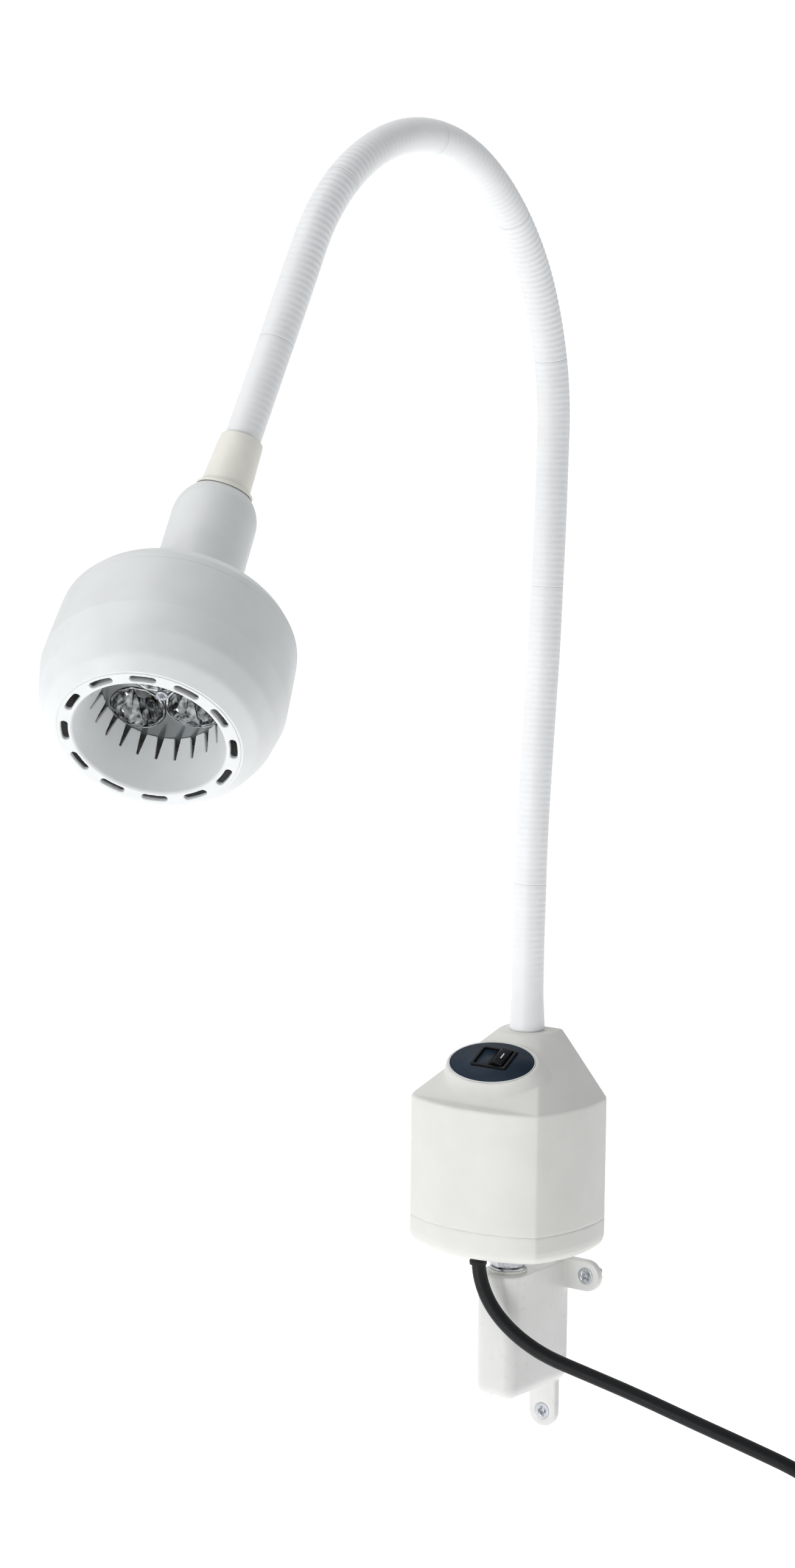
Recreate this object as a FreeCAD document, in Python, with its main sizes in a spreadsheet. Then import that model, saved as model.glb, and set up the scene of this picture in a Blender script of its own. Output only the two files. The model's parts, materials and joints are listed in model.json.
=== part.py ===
"""Examination lamp: wall bracket, swivelling mains housing, gooseneck and ball-jointed LED head.

Frame: millimetres, +Z up, +X to the right and -Y out of the wall. The origin lies on the wall,
midway between the two upper wall screws. Every driving size is a cell of the sheet named Params,
and every sub-part is bound to those cells.
"""
import FreeCAD, Part
import math
import os
import Sketcher
from FreeCAD import Placement, Rotation, Vector

doc = FreeCAD.newDocument("ExaminationLamp")
sheet = doc.addObject("Spreadsheet::Sheet", "Params")

CELLS = {
    # wall bracket
    "bracket_width": 24.0, "bracket_depth": 49.0, "bracket_top": 6.0, "bracket_bottom": 57.0,
    "bracket_edge_radius": 7.0, "ear_spacing": 49.0, "ear_radius": 8.0, "ear_thickness": 4.0,
    "low_ear_drop": 74.0, "screw_hole_radius": 2.6, "screw_shank_radius": 2.2,
    "screw_head_radius": 4.2, "screw_head_height": 2.6, "screw_depth": 10.0,
    # pivot between bracket and housing
    "pin_y": -36.0, "pin_radius": 5.0, "pin_bottom": -42.0, "pin_top": 33.0,
    "bush_radius": 7.0, "bush_flange_radius": 9.5, "bush_flange": 1.5, "running_gap": 0.05,
    "nut_width": 16.0, "nut_height": 6.0,
    # housing
    "house_bottom": 20.0, "house_seam": 35.0, "house_wall_top": 95.0, "house_top": 125.0,
    "house_wall": 2.6, "axis_y": -22.5, "crease_x": 37.2, "crease_y": -67.7, "front_sagitta": 10.0,
    "side_bulge_x": 44.5, "side_bulge_y": -40.0, "back_x": 43.0, "back_y": -10.5,
    "back_corner": 8.0, "bottom_round": 7.0, "roof_front_sagitta": 1.5,
    "plateau_x": 12.0, "plateau_y": -29.4, "plateau_sagitta": 6.4, "plateau_side": 13.6,
    "plateau_corner": 2.0,
    # switch on its oval boss
    "plate_y": -52.7, "plate_z": 113.4, "plate_slope": 30.4, "plate_half_long": 24.0,
    "plate_half_short": 14.4, "plate_thick": 0.8, "boss_rim": 1.3, "boss_depth": 15.0,
    "boss_flare": 7.5, "switch_up": 2.5, "bezel_long": 21.0, "bezel_short": 14.0,
    "bezel_rise": 1.4, "switch_long": 18.8, "switch_short": 12.8, "switch_depth": 15.0,
    "rocker_long": 16.4, "rocker_short": 10.4, "rocker_gap": 0.35, "rocker_angle": 12.0,
    # gooseneck
    "sleeve_radius": 8.0, "sleeve_inner": 6.7, "core_radius": 6.5, "core_inner": 4.3,
    "joint_gap": 0.3, "flare_height": 6.0,
    "nipple_radius": 6.4, "nipple_bottom": 108.0, "nipple_top": 136.0,
    "locknut_width": 17.0, "locknut_height": 4.5, "first_lean": 1.0,
    # boot, ball stud and neck
    "ball_below_end": 40.0, "boot_top_radius": 9.4, "boot_low_radius": 10.6,
    "boot_flange_radius": 12.6, "boot_flange": 2.2, "ball_radius": 11.0, "stem_radius": 4.0,
    "neck_radius": 18.5, "neck_wall": 2.8, "neck_length": 45.6, "neck_slot_width": 9.2,
    "neck_slot_low": -24.0, "neck_slot_high": 39.0, "seat_inner": 11.3, "spigot_radius": 9.0,
    "spigot_length": 13.0,
    # lamp head, measured from the plane of the front ring
    "head_reach": 128.0, "head_wall": 2.2, "ring_radius": 37.8, "slot_circle": 34.8,
    "slot_width": 3.0, "slot_angle": 13.0, "mouth_radius": 31.5, "cone_depth": 25.0,
    "cone_radius": 24.8, "ring_thick": 1.8, "notch_depth": 10.0, "notch_width": 2.9,
    "shell_lip_radius": 38.6, "shell_flare_z": 5.5, "shell_flare_radius": 44.0,
    "shell_shoulder_z": 16.0, "shell_shoulder_radius": 49.2, "shell_widest_z": 28.0,
    "shell_widest_radius": 50.5, "shell_end": 54.0, "shell_end_radius": 50.0,
    "cover_round_z": 61.5, "cover_round_radius": 46.5, "cover_top": 82.0,
    "cover_top_radius": 20.0, "cup_circle": 13.6, "cup_radius": 10.8, "cup_depth": 12.0,
    "cup_low_radius": 3.5, "holder_z": 25.0, "holder_thick": 1.6, "holder_radius": 30.0,
    "board_z": 38.2, "board_thick": 1.6, "board_radius": 28.0, "sink_thick": 5.0,
    "sink_radius": 46.0, "fin_height": 11.0, "fin_thick": 1.6, "cover_posts": 39.0,
    # mains lead
    "lead_radius": 3.5, "coil_radius": 39.0, "coil_bundle": 12.8, "coil_x": 222.0,
    "coil_y": -14.5, "coil_z": -125.0, "plug_length": 36.0,
    "plug_width": 35.0, "plug_thick": 14.0,
}
for row, (alias, value) in enumerate(CELLS.items(), start=1):
    sheet.set("A%d" % row, alias)
    sheet.set("B%d" % row, str(value))
    sheet.setAlias("B%d" % row, alias)
doc.recompute()


class Size:
    """A number together with the sheet expression that drives it."""

    def __init__(self, text, value):
        self.text = text
        self.value = float(value)

    def _join(self, sign, other, value):
        return Size("(%s %s %s)" % (self.text, sign, other.text), value)

    def __add__(self, other):
        other = size(other)
        return self._join("+", other, self.value + other.value)

    def __sub__(self, other):
        other = size(other)
        return self._join("-", other, self.value - other.value)

    def __mul__(self, other):
        other = size(other)
        return self._join("*", other, self.value * other.value)

    def __truediv__(self, other):
        other = size(other)
        return self._join("/", other, self.value / other.value)

    def __neg__(self):
        return Size("(0 - %s)" % self.text, -self.value)

    def __rsub__(self, other):
        return size(other) - self

    def __radd__(self, other):
        return size(other) + self

    def __rmul__(self, other):
        return size(other) * self

    def __float__(self):
        return self.value


def size(number):
    return number if isinstance(number, Size) else Size(repr(float(number)), number)


class Params:
    """Reads the sheet: p.ear_radius is the Size bound to the cell ear_radius."""

    def __getattr__(self, alias):
        return Size("Params.%s" % alias, getattr(sheet, alias))


p = Params()
NODES = {}
ORIGIN = Placement()


def num(*values):
    return [float(v) for v in values]


def vec(x, y, z):
    return Vector(*num(x, y, z))


def bind(obj, **sizes):
    for prop, value in sizes.items():
        value = size(value)
        obj.setExpression(prop, value.text)
    return obj


def put(obj, at=(0, 0, 0), turn=None):
    """Places an object; its position follows the sheet when it isn't turned."""
    obj.Placement = Placement(vec(*at), turn or Rotation())
    for axis, value in zip("xyz", at):
        if isinstance(value, Size):
            obj.setExpression("Placement.Base." + axis, value.text)
    return obj


def cylinder(name, radius, height, at=(0, 0, 0), turn=None):
    return put(bind(doc.addObject("Part::Cylinder", name), Radius=radius, Height=height), at, turn)


def cone(name, low, high, height, at=(0, 0, 0), turn=None):
    return put(bind(doc.addObject("Part::Cone", name), Radius1=low, Radius2=high, Height=height),
               at, turn)


def sphere(name, radius, at=(0, 0, 0)):
    return put(bind(doc.addObject("Part::Sphere", name), Radius=radius), at)


def box(name, length, width, height, at=(0, 0, 0), turn=None):
    return put(bind(doc.addObject("Part::Box", name), Length=length, Width=width, Height=height),
               at, turn)


def centred_box(name, length, width, height, x=0, y=0, z=0):
    """A box whose centre is at x, y and whose underside is at z."""
    at = (size(x) - size(length) / 2, size(y) - size(width) / 2, z)
    return box(name, length, width, height, at)


def hexagon(name, width, height, at=(0, 0, 0)):
    prism = doc.addObject("Part::Prism", name)
    prism.Polygon = 6
    return put(bind(prism, Circumradius=size(width) / math.sqrt(3), Height=height), at)


def cut(name, base, *tools):
    tool = tools[0] if len(tools) == 1 else fuse(name + "_tools", *tools)
    obj = doc.addObject("Part::Cut", name)
    obj.Base, obj.Tool = base, tool
    return obj


def fuse(name, *parts):
    obj = doc.addObject("Part::MultiFuse", name)
    obj.Shapes = list(parts)
    obj.Refine = True
    return obj


def group(name, *parts):
    """Separate solids that are one kind of piece, such as a set of screws."""
    obj = doc.addObject("Part::Compound", name)
    obj.Links = list(parts)
    return obj


def made(name, shape):
    """A Part::Feature for a form that no primitive or PartDesign feature gives."""
    obj = doc.addObject("Part::Feature", name)
    obj.Shape = shape
    return obj


def node(name, obj, frame=ORIGIN):
    """Declares a finished sub-part: its label is its file's name."""
    obj.Label = name
    obj.Placement = frame.multiply(obj.Placement)
    NODES[name] = obj
    return obj


# ---------------------------------------------------------------- PartDesign helpers

def body(name):
    return doc.addObject("PartDesign::Body", name)


def sketch_on(owner, role, name, offset=0):
    plane = next(f for f in owner.Origin.OriginFeatures if f.Role == role)
    obj = owner.newObject("Sketcher::SketchObject", name)
    obj.AttachmentSupport = [(plane, "")]
    obj.MapMode = "FlatFace"
    if isinstance(offset, Size):
        obj.setExpression("AttachmentOffset.Base.z", offset.text)
    return obj


def pin_point(sk, index, which, x, y):
    """Fixes a sketch point at x, y with dimensions bound to the sheet."""
    for kind, value in (("DistanceX", size(x)), ("DistanceY", size(y))):
        if value.value == 0:
            axis = -2 if kind == "DistanceX" else -1
            sk.addConstraint(Sketcher.Constraint("PointOnObject", index, which, axis))
            continue
        rule = sk.addConstraint(Sketcher.Constraint(kind, -1, 1, index, which, value.value))
        sk.setExpression("Constraints[%d]" % rule, value.text)


def polygon(sk, points):
    """A closed outline of straight lines, every corner dimensioned from the origin."""
    first = sk.GeometryCount
    spots = [Vector(float(x), float(y), 0) for x, y in points]
    for start, end in zip(spots, spots[1:] + spots[:1]):
        sk.addGeometry(Part.LineSegment(start, end), False)
    for k, (x, y) in enumerate(points):
        previous = first + (k - 1) % len(points)
        sk.addConstraint(Sketcher.Constraint("Coincident", previous, 2, first + k, 1))
        pin_point(sk, first + k, 1, x, y)


def pad(owner, sk, length, name, reverse=False):
    feature = owner.newObject("PartDesign::Pad", name)
    feature.Profile = sk
    feature.Reversed = reverse
    feature.setExpression("Length", size(length).text)
    return feature


def turned(name, points):
    """A PartDesign body turned about Z from an outline of (radius, z) points."""
    owner = body(name)
    sk = sketch_on(owner, "XZ_Plane", name + "_profile")
    polygon(sk, points)
    spin = owner.newObject("PartDesign::Revolution", name + "_turned")
    spin.Profile = sk
    spin.ReferenceAxis = (sk, ["V_Axis"])
    spin.Angle = 360
    return owner


# ---------------------------------------------------------------- wall bracket

def screw(name, radius, head_radius, head_height, length):
    """A countersunk-head screw along +Z, its head's top at z = 0, with a cross recess."""
    head = cone(name + "_head", radius, head_radius, head_height, (0, 0, -size(head_height)))
    shank = cylinder(name + "_shank", radius, length, (0, 0, -size(head_height) - size(length)))
    blank = fuse(name + "_blank", head, shank)
    recess_width = size(head_radius) * 0.22
    arm = size(head_radius) * 1.1
    bars = [centred_box(name + "_bar%d" % k, a, b, 1.6, 0, 0, -1.4)
            for k, (a, b) in enumerate(((arm, recess_width), (recess_width, arm)))]
    return cut(name, blank, *bars)


def placed_copies(name, source, placements):
    copies = []
    for k, placement in enumerate(placements):
        link = made("%s_%d" % (name, k), source.Shape)
        link.Placement = placement
        copies.append(link)
    return group(name, *copies)


SCREW_PROUD = 0.15
OUT_OF_WALL = Rotation(Vector(1, 0, 0), 90)      # turns +Z to -Y


def build_bracket():
    owner = body("wall_bracket")
    sk = sketch_on(owner, "XY_Plane", "bracket_plan", p.bracket_top)
    half = p.bracket_width / 2
    polygon(sk, [(-half, 0), (half, 0), (half, -p.bracket_depth), (-half, -p.bracket_depth)])
    block = pad(owner, sk, p.bracket_top + p.bracket_bottom, "bracket_block", reverse=True)
    doc.recompute()
    edges = []
    for k, edge in enumerate(block.Shape.Edges, start=1):
        middle = edge.valueAt((edge.FirstParameter + edge.LastParameter) / 2)
        front = abs(middle.y + p.bracket_depth.value) < 0.1
        low = abs(middle.z + p.bracket_bottom.value) < 0.1
        if (front and abs(middle.z - p.bracket_top.value) > 0.1) or (low and middle.y < -1):
            edges.append("Edge%d" % k)
    rounding = owner.newObject("PartDesign::Fillet", "bracket_rounding")
    rounding.Base = (block, edges)
    rounding.setExpression("Radius", p.bracket_edge_radius.text)
    doc.recompute()
    block_solid = made("bracket_core", owner.Shape)
    reach = p.ear_spacing / 2
    bar = box("ear_bar", p.ear_spacing, p.ear_thickness, p.ear_radius * 2,
              (-reach, -p.ear_thickness, -p.ear_radius))
    spots = [(-reach, 0), (reach, 0), (0, -p.low_ear_drop)]
    ends = [cylinder("ear_%d" % k, p.ear_radius, p.ear_thickness, (x, 0, z), OUT_OF_WALL)
            for k, (x, z) in enumerate(spots)]
    drop = box("ear_drop", p.ear_radius * 2, p.ear_thickness, p.low_ear_drop,
               (-p.ear_radius, -p.ear_thickness, -p.low_ear_drop))
    blank = fuse("bracket_blank", block_solid, bar, drop, *ends)
    holes = []
    for k, (x, z) in enumerate(spots):
        holes.append(cylinder("ear_hole_%d" % k, p.screw_hole_radius, 10, (x, 1, z), OUT_OF_WALL))
        sunk = p.screw_head_radius + 0.2
        holes.append(cone("ear_sink_%d" % k, p.screw_hole_radius, sunk, p.screw_head_height,
                          (x, -p.ear_thickness + p.screw_head_height - 0.4, z), OUT_OF_WALL))
    holes.append(cylinder("bush_bore", p.bush_radius + 0.02, 80, (0, p.pin_y, -45)))
    owner.Label = "bracket_block_body"
    node("wall_bracket", cut("bracket", blank, *holes))

    neck_length = p.ear_thickness + SCREW_PROUD - p.screw_head_height
    top = screw("wall_screw_top", p.screw_shank_radius + 0.2, p.screw_head_radius,
                p.screw_head_height, neck_length)
    thread = cylinder("wall_screw_thread", p.screw_shank_radius, p.screw_depth,
                      (0, 0, -p.ear_thickness - SCREW_PROUD - p.screw_depth))
    pattern = fuse("wall_screw", top, thread)
    doc.recompute()
    face = -p.ear_thickness.value - SCREW_PROUD
    places = []
    for (x, z), turn in zip(spots, (20, 35, 10)):
        twist = OUT_OF_WALL.multiply(Rotation(Vector(0, 0, 1), turn))
        places.append(Placement(vec(x, face, z), twist))
    node("wall_screws", placed_copies("wall_screw_set", pattern, places))

    flange = cylinder("bush_flange_part", p.bush_flange_radius, p.bush_flange,
                      (0, p.pin_y, p.bracket_top))
    tube = cylinder("bush_tube", p.bush_radius, 51, (0, p.pin_y, p.bracket_top - 51))
    bore = cylinder("bush_hole", p.pin_radius + p.running_gap, 80, (0, p.pin_y, -60))
    node("pivot_bush", cut("bush", fuse("bush_blank", flange, tube), bore))


# ---------------------------------------------------------------- housing

def outline(width, crease_y, sagitta, bulge, back, corner, z, inset=0.0):
    """Plan of the housing: curved front, a crease each side, bulged sides and a flat back."""
    w = width - inset
    front = crease_y + inset
    back_x, back_y = back[0] - inset, back[1] - inset
    r = max(corner - inset, 0.8)
    bulge_x, bulge_y = bulge[0] - inset, bulge[1]
    right = [Vector(w, front, z), Vector(bulge_x, bulge_y, z), Vector(back_x, back_y - r, z),
             Vector(back_x - r * (1 - math.sqrt(0.5)), back_y - r * (1 - math.sqrt(0.5)), z),
             Vector(back_x - r, back_y, z)]
    left = [Vector(-v.x, v.y, v.z) for v in right]
    edges = [Part.Arc(left[0], Vector(0, front - sagitta, z), right[0]),
             Part.Arc(*right[0:3]), Part.Arc(*right[2:5]), Part.LineSegment(right[4], left[4]),
             Part.Arc(left[4], left[3], left[2]), Part.Arc(left[2], left[1], left[0])]
    return Part.Wire([edge.toShape() for edge in edges])


def wall_plan(z, inset=0.0, sagitta=None):
    v = {name: getattr(sheet, name) for name in ("crease_x", "crease_y", "front_sagitta",
         "side_bulge_x", "side_bulge_y", "back_x", "back_y", "back_corner")}
    depth = v["front_sagitta"] if sagitta is None else sagitta
    return outline(v["crease_x"], v["crease_y"], depth, (v["side_bulge_x"], v["side_bulge_y"]),
                   (v["back_x"], v["back_y"]), v["back_corner"], z, inset)


def plateau_plan(z, inset=0.0):
    side = sheet.plateau_side
    return outline(sheet.plateau_x, sheet.plateau_y, sheet.plateau_sagitta,
                   (side + 0.6, sheet.axis_y), (side, sheet.back_y), sheet.plateau_corner, z, inset)


def prism(plan, height):
    return Part.Face(plan).extrude(Vector(0, 0, height))


def roofed_block(bottom, inset):
    """The housing's solid form above `bottom`, or its hollow when inset is the wall."""
    eaves = sheet.house_wall_top
    top = sheet.house_top - inset
    walls = prism(wall_plan(bottom, inset), eaves - inset - bottom)
    roof = Part.makeLoft([wall_plan(eaves, inset, sheet.roof_front_sagitta),
                          plateau_plan(top, inset)], True, True)
    if inset:
        under_ledge = prism(wall_plan(eaves - inset, inset, sheet.roof_front_sagitta), inset)
        walls = walls.fuse(under_ledge)
    return walls.fuse(roof).removeSplitter()


SWITCH_FRAME = Placement(Vector(0, sheet.plate_y, sheet.plate_z),
                         Rotation(Vector(1, 0, 0), sheet.plate_slope))


def ellipse_wire(half_long, half_short, z):
    curve = Part.Ellipse(Vector(0, 0, z), half_long, half_short)
    return Part.Wire([curve.toShape()])


def boss_solid(inset):
    rim = sheet.boss_rim - inset
    flare = sheet.boss_flare
    depth = sheet.boss_depth
    top = ellipse_wire(sheet.plate_half_long + rim, sheet.plate_half_short + rim, -inset)
    spread = rim + flare
    low = ellipse_wire(sheet.plate_half_long + spread, sheet.plate_half_short + spread, -depth)
    return Part.makeLoft([top, low], True, True).transformGeometry(SWITCH_FRAME.toMatrix())


def hole_at(radius, x, y, low, high):
    return Part.makeCylinder(radius, high - low, Vector(x, y, low))


def switch_hole(extra):
    long, short = sheet.switch_long + extra, sheet.switch_short + extra
    block = Part.makeBox(long, short, 40, Vector(-long / 2, sheet.switch_up - short / 2, -30))
    return block.transformGeometry(SWITCH_FRAME.toMatrix())


def build_housing_shell():
    wall = sheet.house_wall
    seam = sheet.house_seam
    outer = roofed_block(seam, 0)
    boss = boss_solid(0).common(prism(wall_plan(seam, wall / 2), 90))
    hollow = roofed_block(seam - 1, wall)
    shell = outer.fuse(boss).removeSplitter().cut(hollow)
    inner_boss = ellipse_wire(sheet.plate_half_long - 2, sheet.plate_half_short - 2, -wall)
    inner_low = ellipse_wire(sheet.plate_half_long - 2, sheet.plate_half_short - 2, -sheet.boss_depth)
    space = Part.makeLoft([inner_boss, inner_low], True, True).transformGeometry(SWITCH_FRAME.toMatrix())
    shell = shell.cut(space)
    seat = ellipse_wire(sheet.plate_half_long + 0.1, sheet.plate_half_short + 0.1, -sheet.plate_thick)
    recess = Part.Face(seat).extrude(Vector(0, 0, 5)).transformGeometry(SWITCH_FRAME.toMatrix())
    shell = shell.cut(recess).cut(switch_hole(0.2))
    shell = shell.cut(hole_at(sheet.nipple_radius + 0.1, 0, sheet.axis_y, 100, 140))
    reach = BOARD_BACK - (sheet.back_y - wall + 0.3)
    inward = Vector(0, 1, 0)
    posts = [Part.makeCylinder(2.5, -reach, Vector(x, BOARD_BACK, z), inward) for x, z in POSTS]
    bosses = []
    bores = []
    for x, y in BASE_SCREWS:
        side = math.copysign(1, x)
        rib = Part.makeBox(12, 2.4, 18, Vector(x if side > 0 else x - 12, y - 1.2, seam + 3.4))
        bosses.append(Part.makeCylinder(3.2, 22.2, Vector(x, y, seam - 0.8)).fuse(rib))
        bores.append(hole_at(1.65, x, y, seam - 2, seam + 18))
    inside = prism(wall_plan(seam - 0.8, wall / 2), 22)
    within = Part.makeCompound(bosses).common(inside)
    shell = shell.fuse([*posts, *within.Solids]).cut(bores)
    node("housing_shell", made("shell", shell))


def build_housing_base():
    wall = sheet.house_wall
    low, seam = sheet.house_bottom, sheet.house_seam
    round_edge = sheet.bottom_round
    steps = [math.radians(a) for a in (0, 22.5, 45, 67.5, 90)]
    plans = [wall_plan(low + round_edge * (1 - math.cos(a)), round_edge * (1 - math.sin(a)))
             for a in steps]
    tray = Part.makeLoft(plans + [wall_plan(seam - 0.4)], True, True)
    lip = prism(wall_plan(seam - 6, wall + 0.15), 9)
    room = prism(wall_plan(low + 3, 2 * wall), 40)
    posts = [Part.makeCylinder(3.2, 12, Vector(x, y, low + 2)) for x, y in BASE_SCREWS]
    holes = [hole_at(sheet.pin_radius + 0.1, 0, sheet.pin_y, 0, 60),
             hole_at(GLAND_RADIUS + 0.1, GLAND[0], GLAND[1], 0, 60)]
    for x, y in BASE_SCREWS:
        holes += [hole_at(1.7, x, y, 0, 60), hole_at(3.3, x, y, 0, low + 2)]
    tray = tray.fuse(lip).cut(room).fuse(posts).cut(holes)
    node("housing_base", made("base", tray))

    pattern = screw("base_screw", 1.6, 3.0, 1.6, 29)
    doc.recompute()
    upward = Rotation(Vector(1, 0, 0), 180)
    places = [Placement(Vector(x, y, low + 0.3), upward) for x, y in BASE_SCREWS]
    node("base_screws", placed_copies("base_screw_set", pattern, places))


BOARD_BACK = -22.4
POSTS = [(-27, 45), (27, 45), (-27, 87), (27, 87)]
GLAND = (-1.4, -60.0)
GLAND_RADIUS = 5.0
BASE_SCREWS = [(-30.0, -56.4), (30.0, -56.4), (-33.0, -26.0), (33.0, -26.0)]


def build_pivot():
    rest = p.bracket_top + p.bush_flange + 0.05
    washer_height = 1.0
    shoulder_low = rest + washer_height + p.nut_height
    shank = cylinder("pin_shank", p.pin_radius, p.pin_top - p.pin_bottom, (0, p.pin_y, p.pin_bottom))
    shoulder = cylinder("pin_shoulder", p.nut_width / 2 - 0.8, p.house_bottom - shoulder_low,
                        (0, p.pin_y, shoulder_low))
    clip_groove = p.pin_bottom + 2
    ring = cylinder("pin_ring", p.pin_radius + 1, 1.0, (0, p.pin_y, clip_groove))
    core = cylinder("pin_core", p.pin_radius - 0.8, 1.0, (0, p.pin_y, clip_groove))
    node("pivot_pin", cut("pin", fuse("pin_blank", shank, shoulder), cut("pin_groove", ring, core)))
    washer = cylinder("washer_disc", 9.0, washer_height, (0, p.pin_y, rest))
    hole = cylinder("washer_hole", p.pin_radius, washer_height, (0, p.pin_y, rest))
    node("pivot_washer", cut("washer", washer, hole))
    nut = hexagon("nut_hex", p.nut_width, p.nut_height, (0, p.pin_y, rest + washer_height))
    node("pivot_nut", cut("nut", nut, cylinder("nut_bore", p.pin_radius, 20, (0, p.pin_y, rest))))
    top_nut = hexagon("lock_hex", p.nut_width, p.nut_height, (0, p.pin_y, p.house_bottom + 3))
    bore = cylinder("lock_bore", p.pin_radius, 20, (0, p.pin_y, 20))
    node("pivot_lock_nut", cut("lock", top_nut, bore))


def build_switch():
    plate = Part.Face(ellipse_wire(sheet.plate_half_long, sheet.plate_half_short, -sheet.plate_thick))
    plate = plate.extrude(Vector(0, 0, sheet.plate_thick))
    long, short, up = sheet.switch_long + 0.2, sheet.switch_short + 0.2, sheet.switch_up
    plate = plate.cut(Part.makeBox(long, short, 9, Vector(-long / 2, up - short / 2, -5)))
    node("switch_plate", made("plate", plate), SWITCH_FRAME)

    up = p.switch_up
    rim = centred_box("bezel_rim", p.bezel_long, p.bezel_short, p.bezel_rise, 0, up, 0)
    can = centred_box("bezel_can", p.switch_long, p.switch_short, p.switch_depth, 0, up, -p.switch_depth)
    room = centred_box("bezel_room", p.rocker_long + p.rocker_gap * 2, p.rocker_short + p.rocker_gap * 2,
                       9, 0, up, -7)
    legs = [centred_box("tab_%d" % k, 0.8, 4.8, 6, x, up, -p.switch_depth - 6)
            for k, x in enumerate((-5.5, 0, 5.5))]
    room_side = p.rocker_short / 2 + p.rocker_gap + 0.2
    pins = [cylinder("trunnion_%d" % k, 0.9, 1.2, (0, up + room_side * side, -1.2),
                     Rotation(Vector(1, 0, 0), 90 * side)) for k, side in enumerate((1, -1))]
    bezel = cut("bezel", fuse("bezel_blank", rim, can), room)
    node("switch_body", fuse("bezel_with_tabs", bezel, *pins), SWITCH_FRAME)
    node("switch_tabs", group("tabs", *legs), SWITCH_FRAME)

    angle = math.radians(sheet.rocker_angle)
    half = sheet.rocker_long / 2
    top = 1.0
    rise = half * math.tan(angle)
    pressed = [Vector(-half, 0, top - rise), Vector(0, 0, top), Vector(half, 0, top + rise)]
    low = [Vector(half, 0, top + rise - 5.2), Vector(3, 0, -4.6), Vector(-3, 0, -4.6),
           Vector(-half, 0, top - rise - 2.6)]
    crown = Part.Arc(pressed[0], pressed[1] + Vector(0, 0, -0.9), pressed[2]).toShape()
    run = Part.makePolygon([pressed[2]] + low + [pressed[0]])
    face = Part.Face(Part.Wire([crown] + run.Edges))
    short = sheet.rocker_short
    block = face.extrude(Vector(0, short, 0))
    block.translate(Vector(0, sheet.switch_up - short / 2, 0))
    axle_start = Vector(0, sheet.switch_up - short / 2 - 1, -1.2)
    axle = Part.makeCylinder(0.95, short + 2, axle_start, Vector(0, 1, 0))
    swept = Part.makeCylinder(half + 0.22, short + 2, axle_start, Vector(0, 1, 0))
    node("rocker", made("rocker_block", block.common(swept).cut(axle)), SWITCH_FRAME)


def build_electrics():
    board = box("board", 60, 1.6, 48, (-30, -24, 42))
    node("circuit_board", board)
    node("driver_module", box("driver", 36, 20, 26, (-20, -44, 46)))
    caps = [cylinder("cap_%d" % k, 4, 16, (21, -24, z), OUT_OF_WALL) for k, z in enumerate((50, 62))]
    node("filter_capacitors", group("caps", *caps))
    block = box("terminal_base", 26, 10, 10, (-13, -34, 77))
    wells = [cylinder("terminal_well_%d" % k, 1.8, 4, (x, -29, 84)) for k, x in enumerate((-8, 0, 8))]
    node("terminal_block", cut("terminals", block, *wells))


def build_nipple():
    x, y = 0, p.axis_y
    length = p.nipple_top - p.nipple_bottom
    tube = cylinder("nipple_tube", p.nipple_radius, length, (x, y, p.nipple_bottom))
    node("gooseneck_nipple", cut("nipple", tube, cylinder("nipple_bore", 4.0, 60, (x, y, 95))))
    below = p.house_top - p.house_wall - p.locknut_height
    hexa = hexagon("locknut_hex", p.locknut_width, p.locknut_height, (x, y, below))
    bore = cylinder("locknut_bore", p.nipple_radius, 20, (x, y, below - 1))
    node("gooseneck_locknut", cut("locknut", hexa, bore))


# ---------------------------------------------------------------- gooseneck

SEGMENTS = [(145, -6.5), (145, 4.0), (75, 27.5), (75, 34.0), (75, 48.0), (75, 43.5), (94, -1.0)]
"""Length and turn of each gooseneck stretch, in the plane x = 0, bending towards -Y."""


def gooseneck_path():
    """Joint centres and headings (degrees from +Z towards -Y) along the gooseneck."""
    spot, lean = Vector(0, sheet.axis_y, sheet.house_top), sheet.first_lean
    stops = [(spot, lean)]
    for length, turn in SEGMENTS:
        middle = math.radians(lean + turn / 2)
        half = math.radians(abs(turn) / 2)
        chord = length * math.sin(half) / half
        spot = spot + Vector(0, -math.sin(middle), math.cos(middle)) * chord
        lean += turn
        stops.append((spot, lean))
    return stops


def heading(lean):
    return Vector(0, -math.sin(math.radians(lean)), math.cos(math.radians(lean)))


def bent_tube(start, length, turn, outer, inner):
    """A tube from start = (point, lean) along an arc of that length and turn."""
    spot, lean = start
    ring = Part.Face(Part.Wire(Part.Circle(spot, heading(lean), outer).toShape()))
    if inner:
        ring = ring.cut(Part.Face(Part.Wire(Part.Circle(spot, heading(lean), inner).toShape())))
    radius = length / math.radians(turn)
    centre = spot + heading(lean + 90) * radius
    return ring.revolve(centre, Vector(1, 0, 0), turn)


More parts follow.
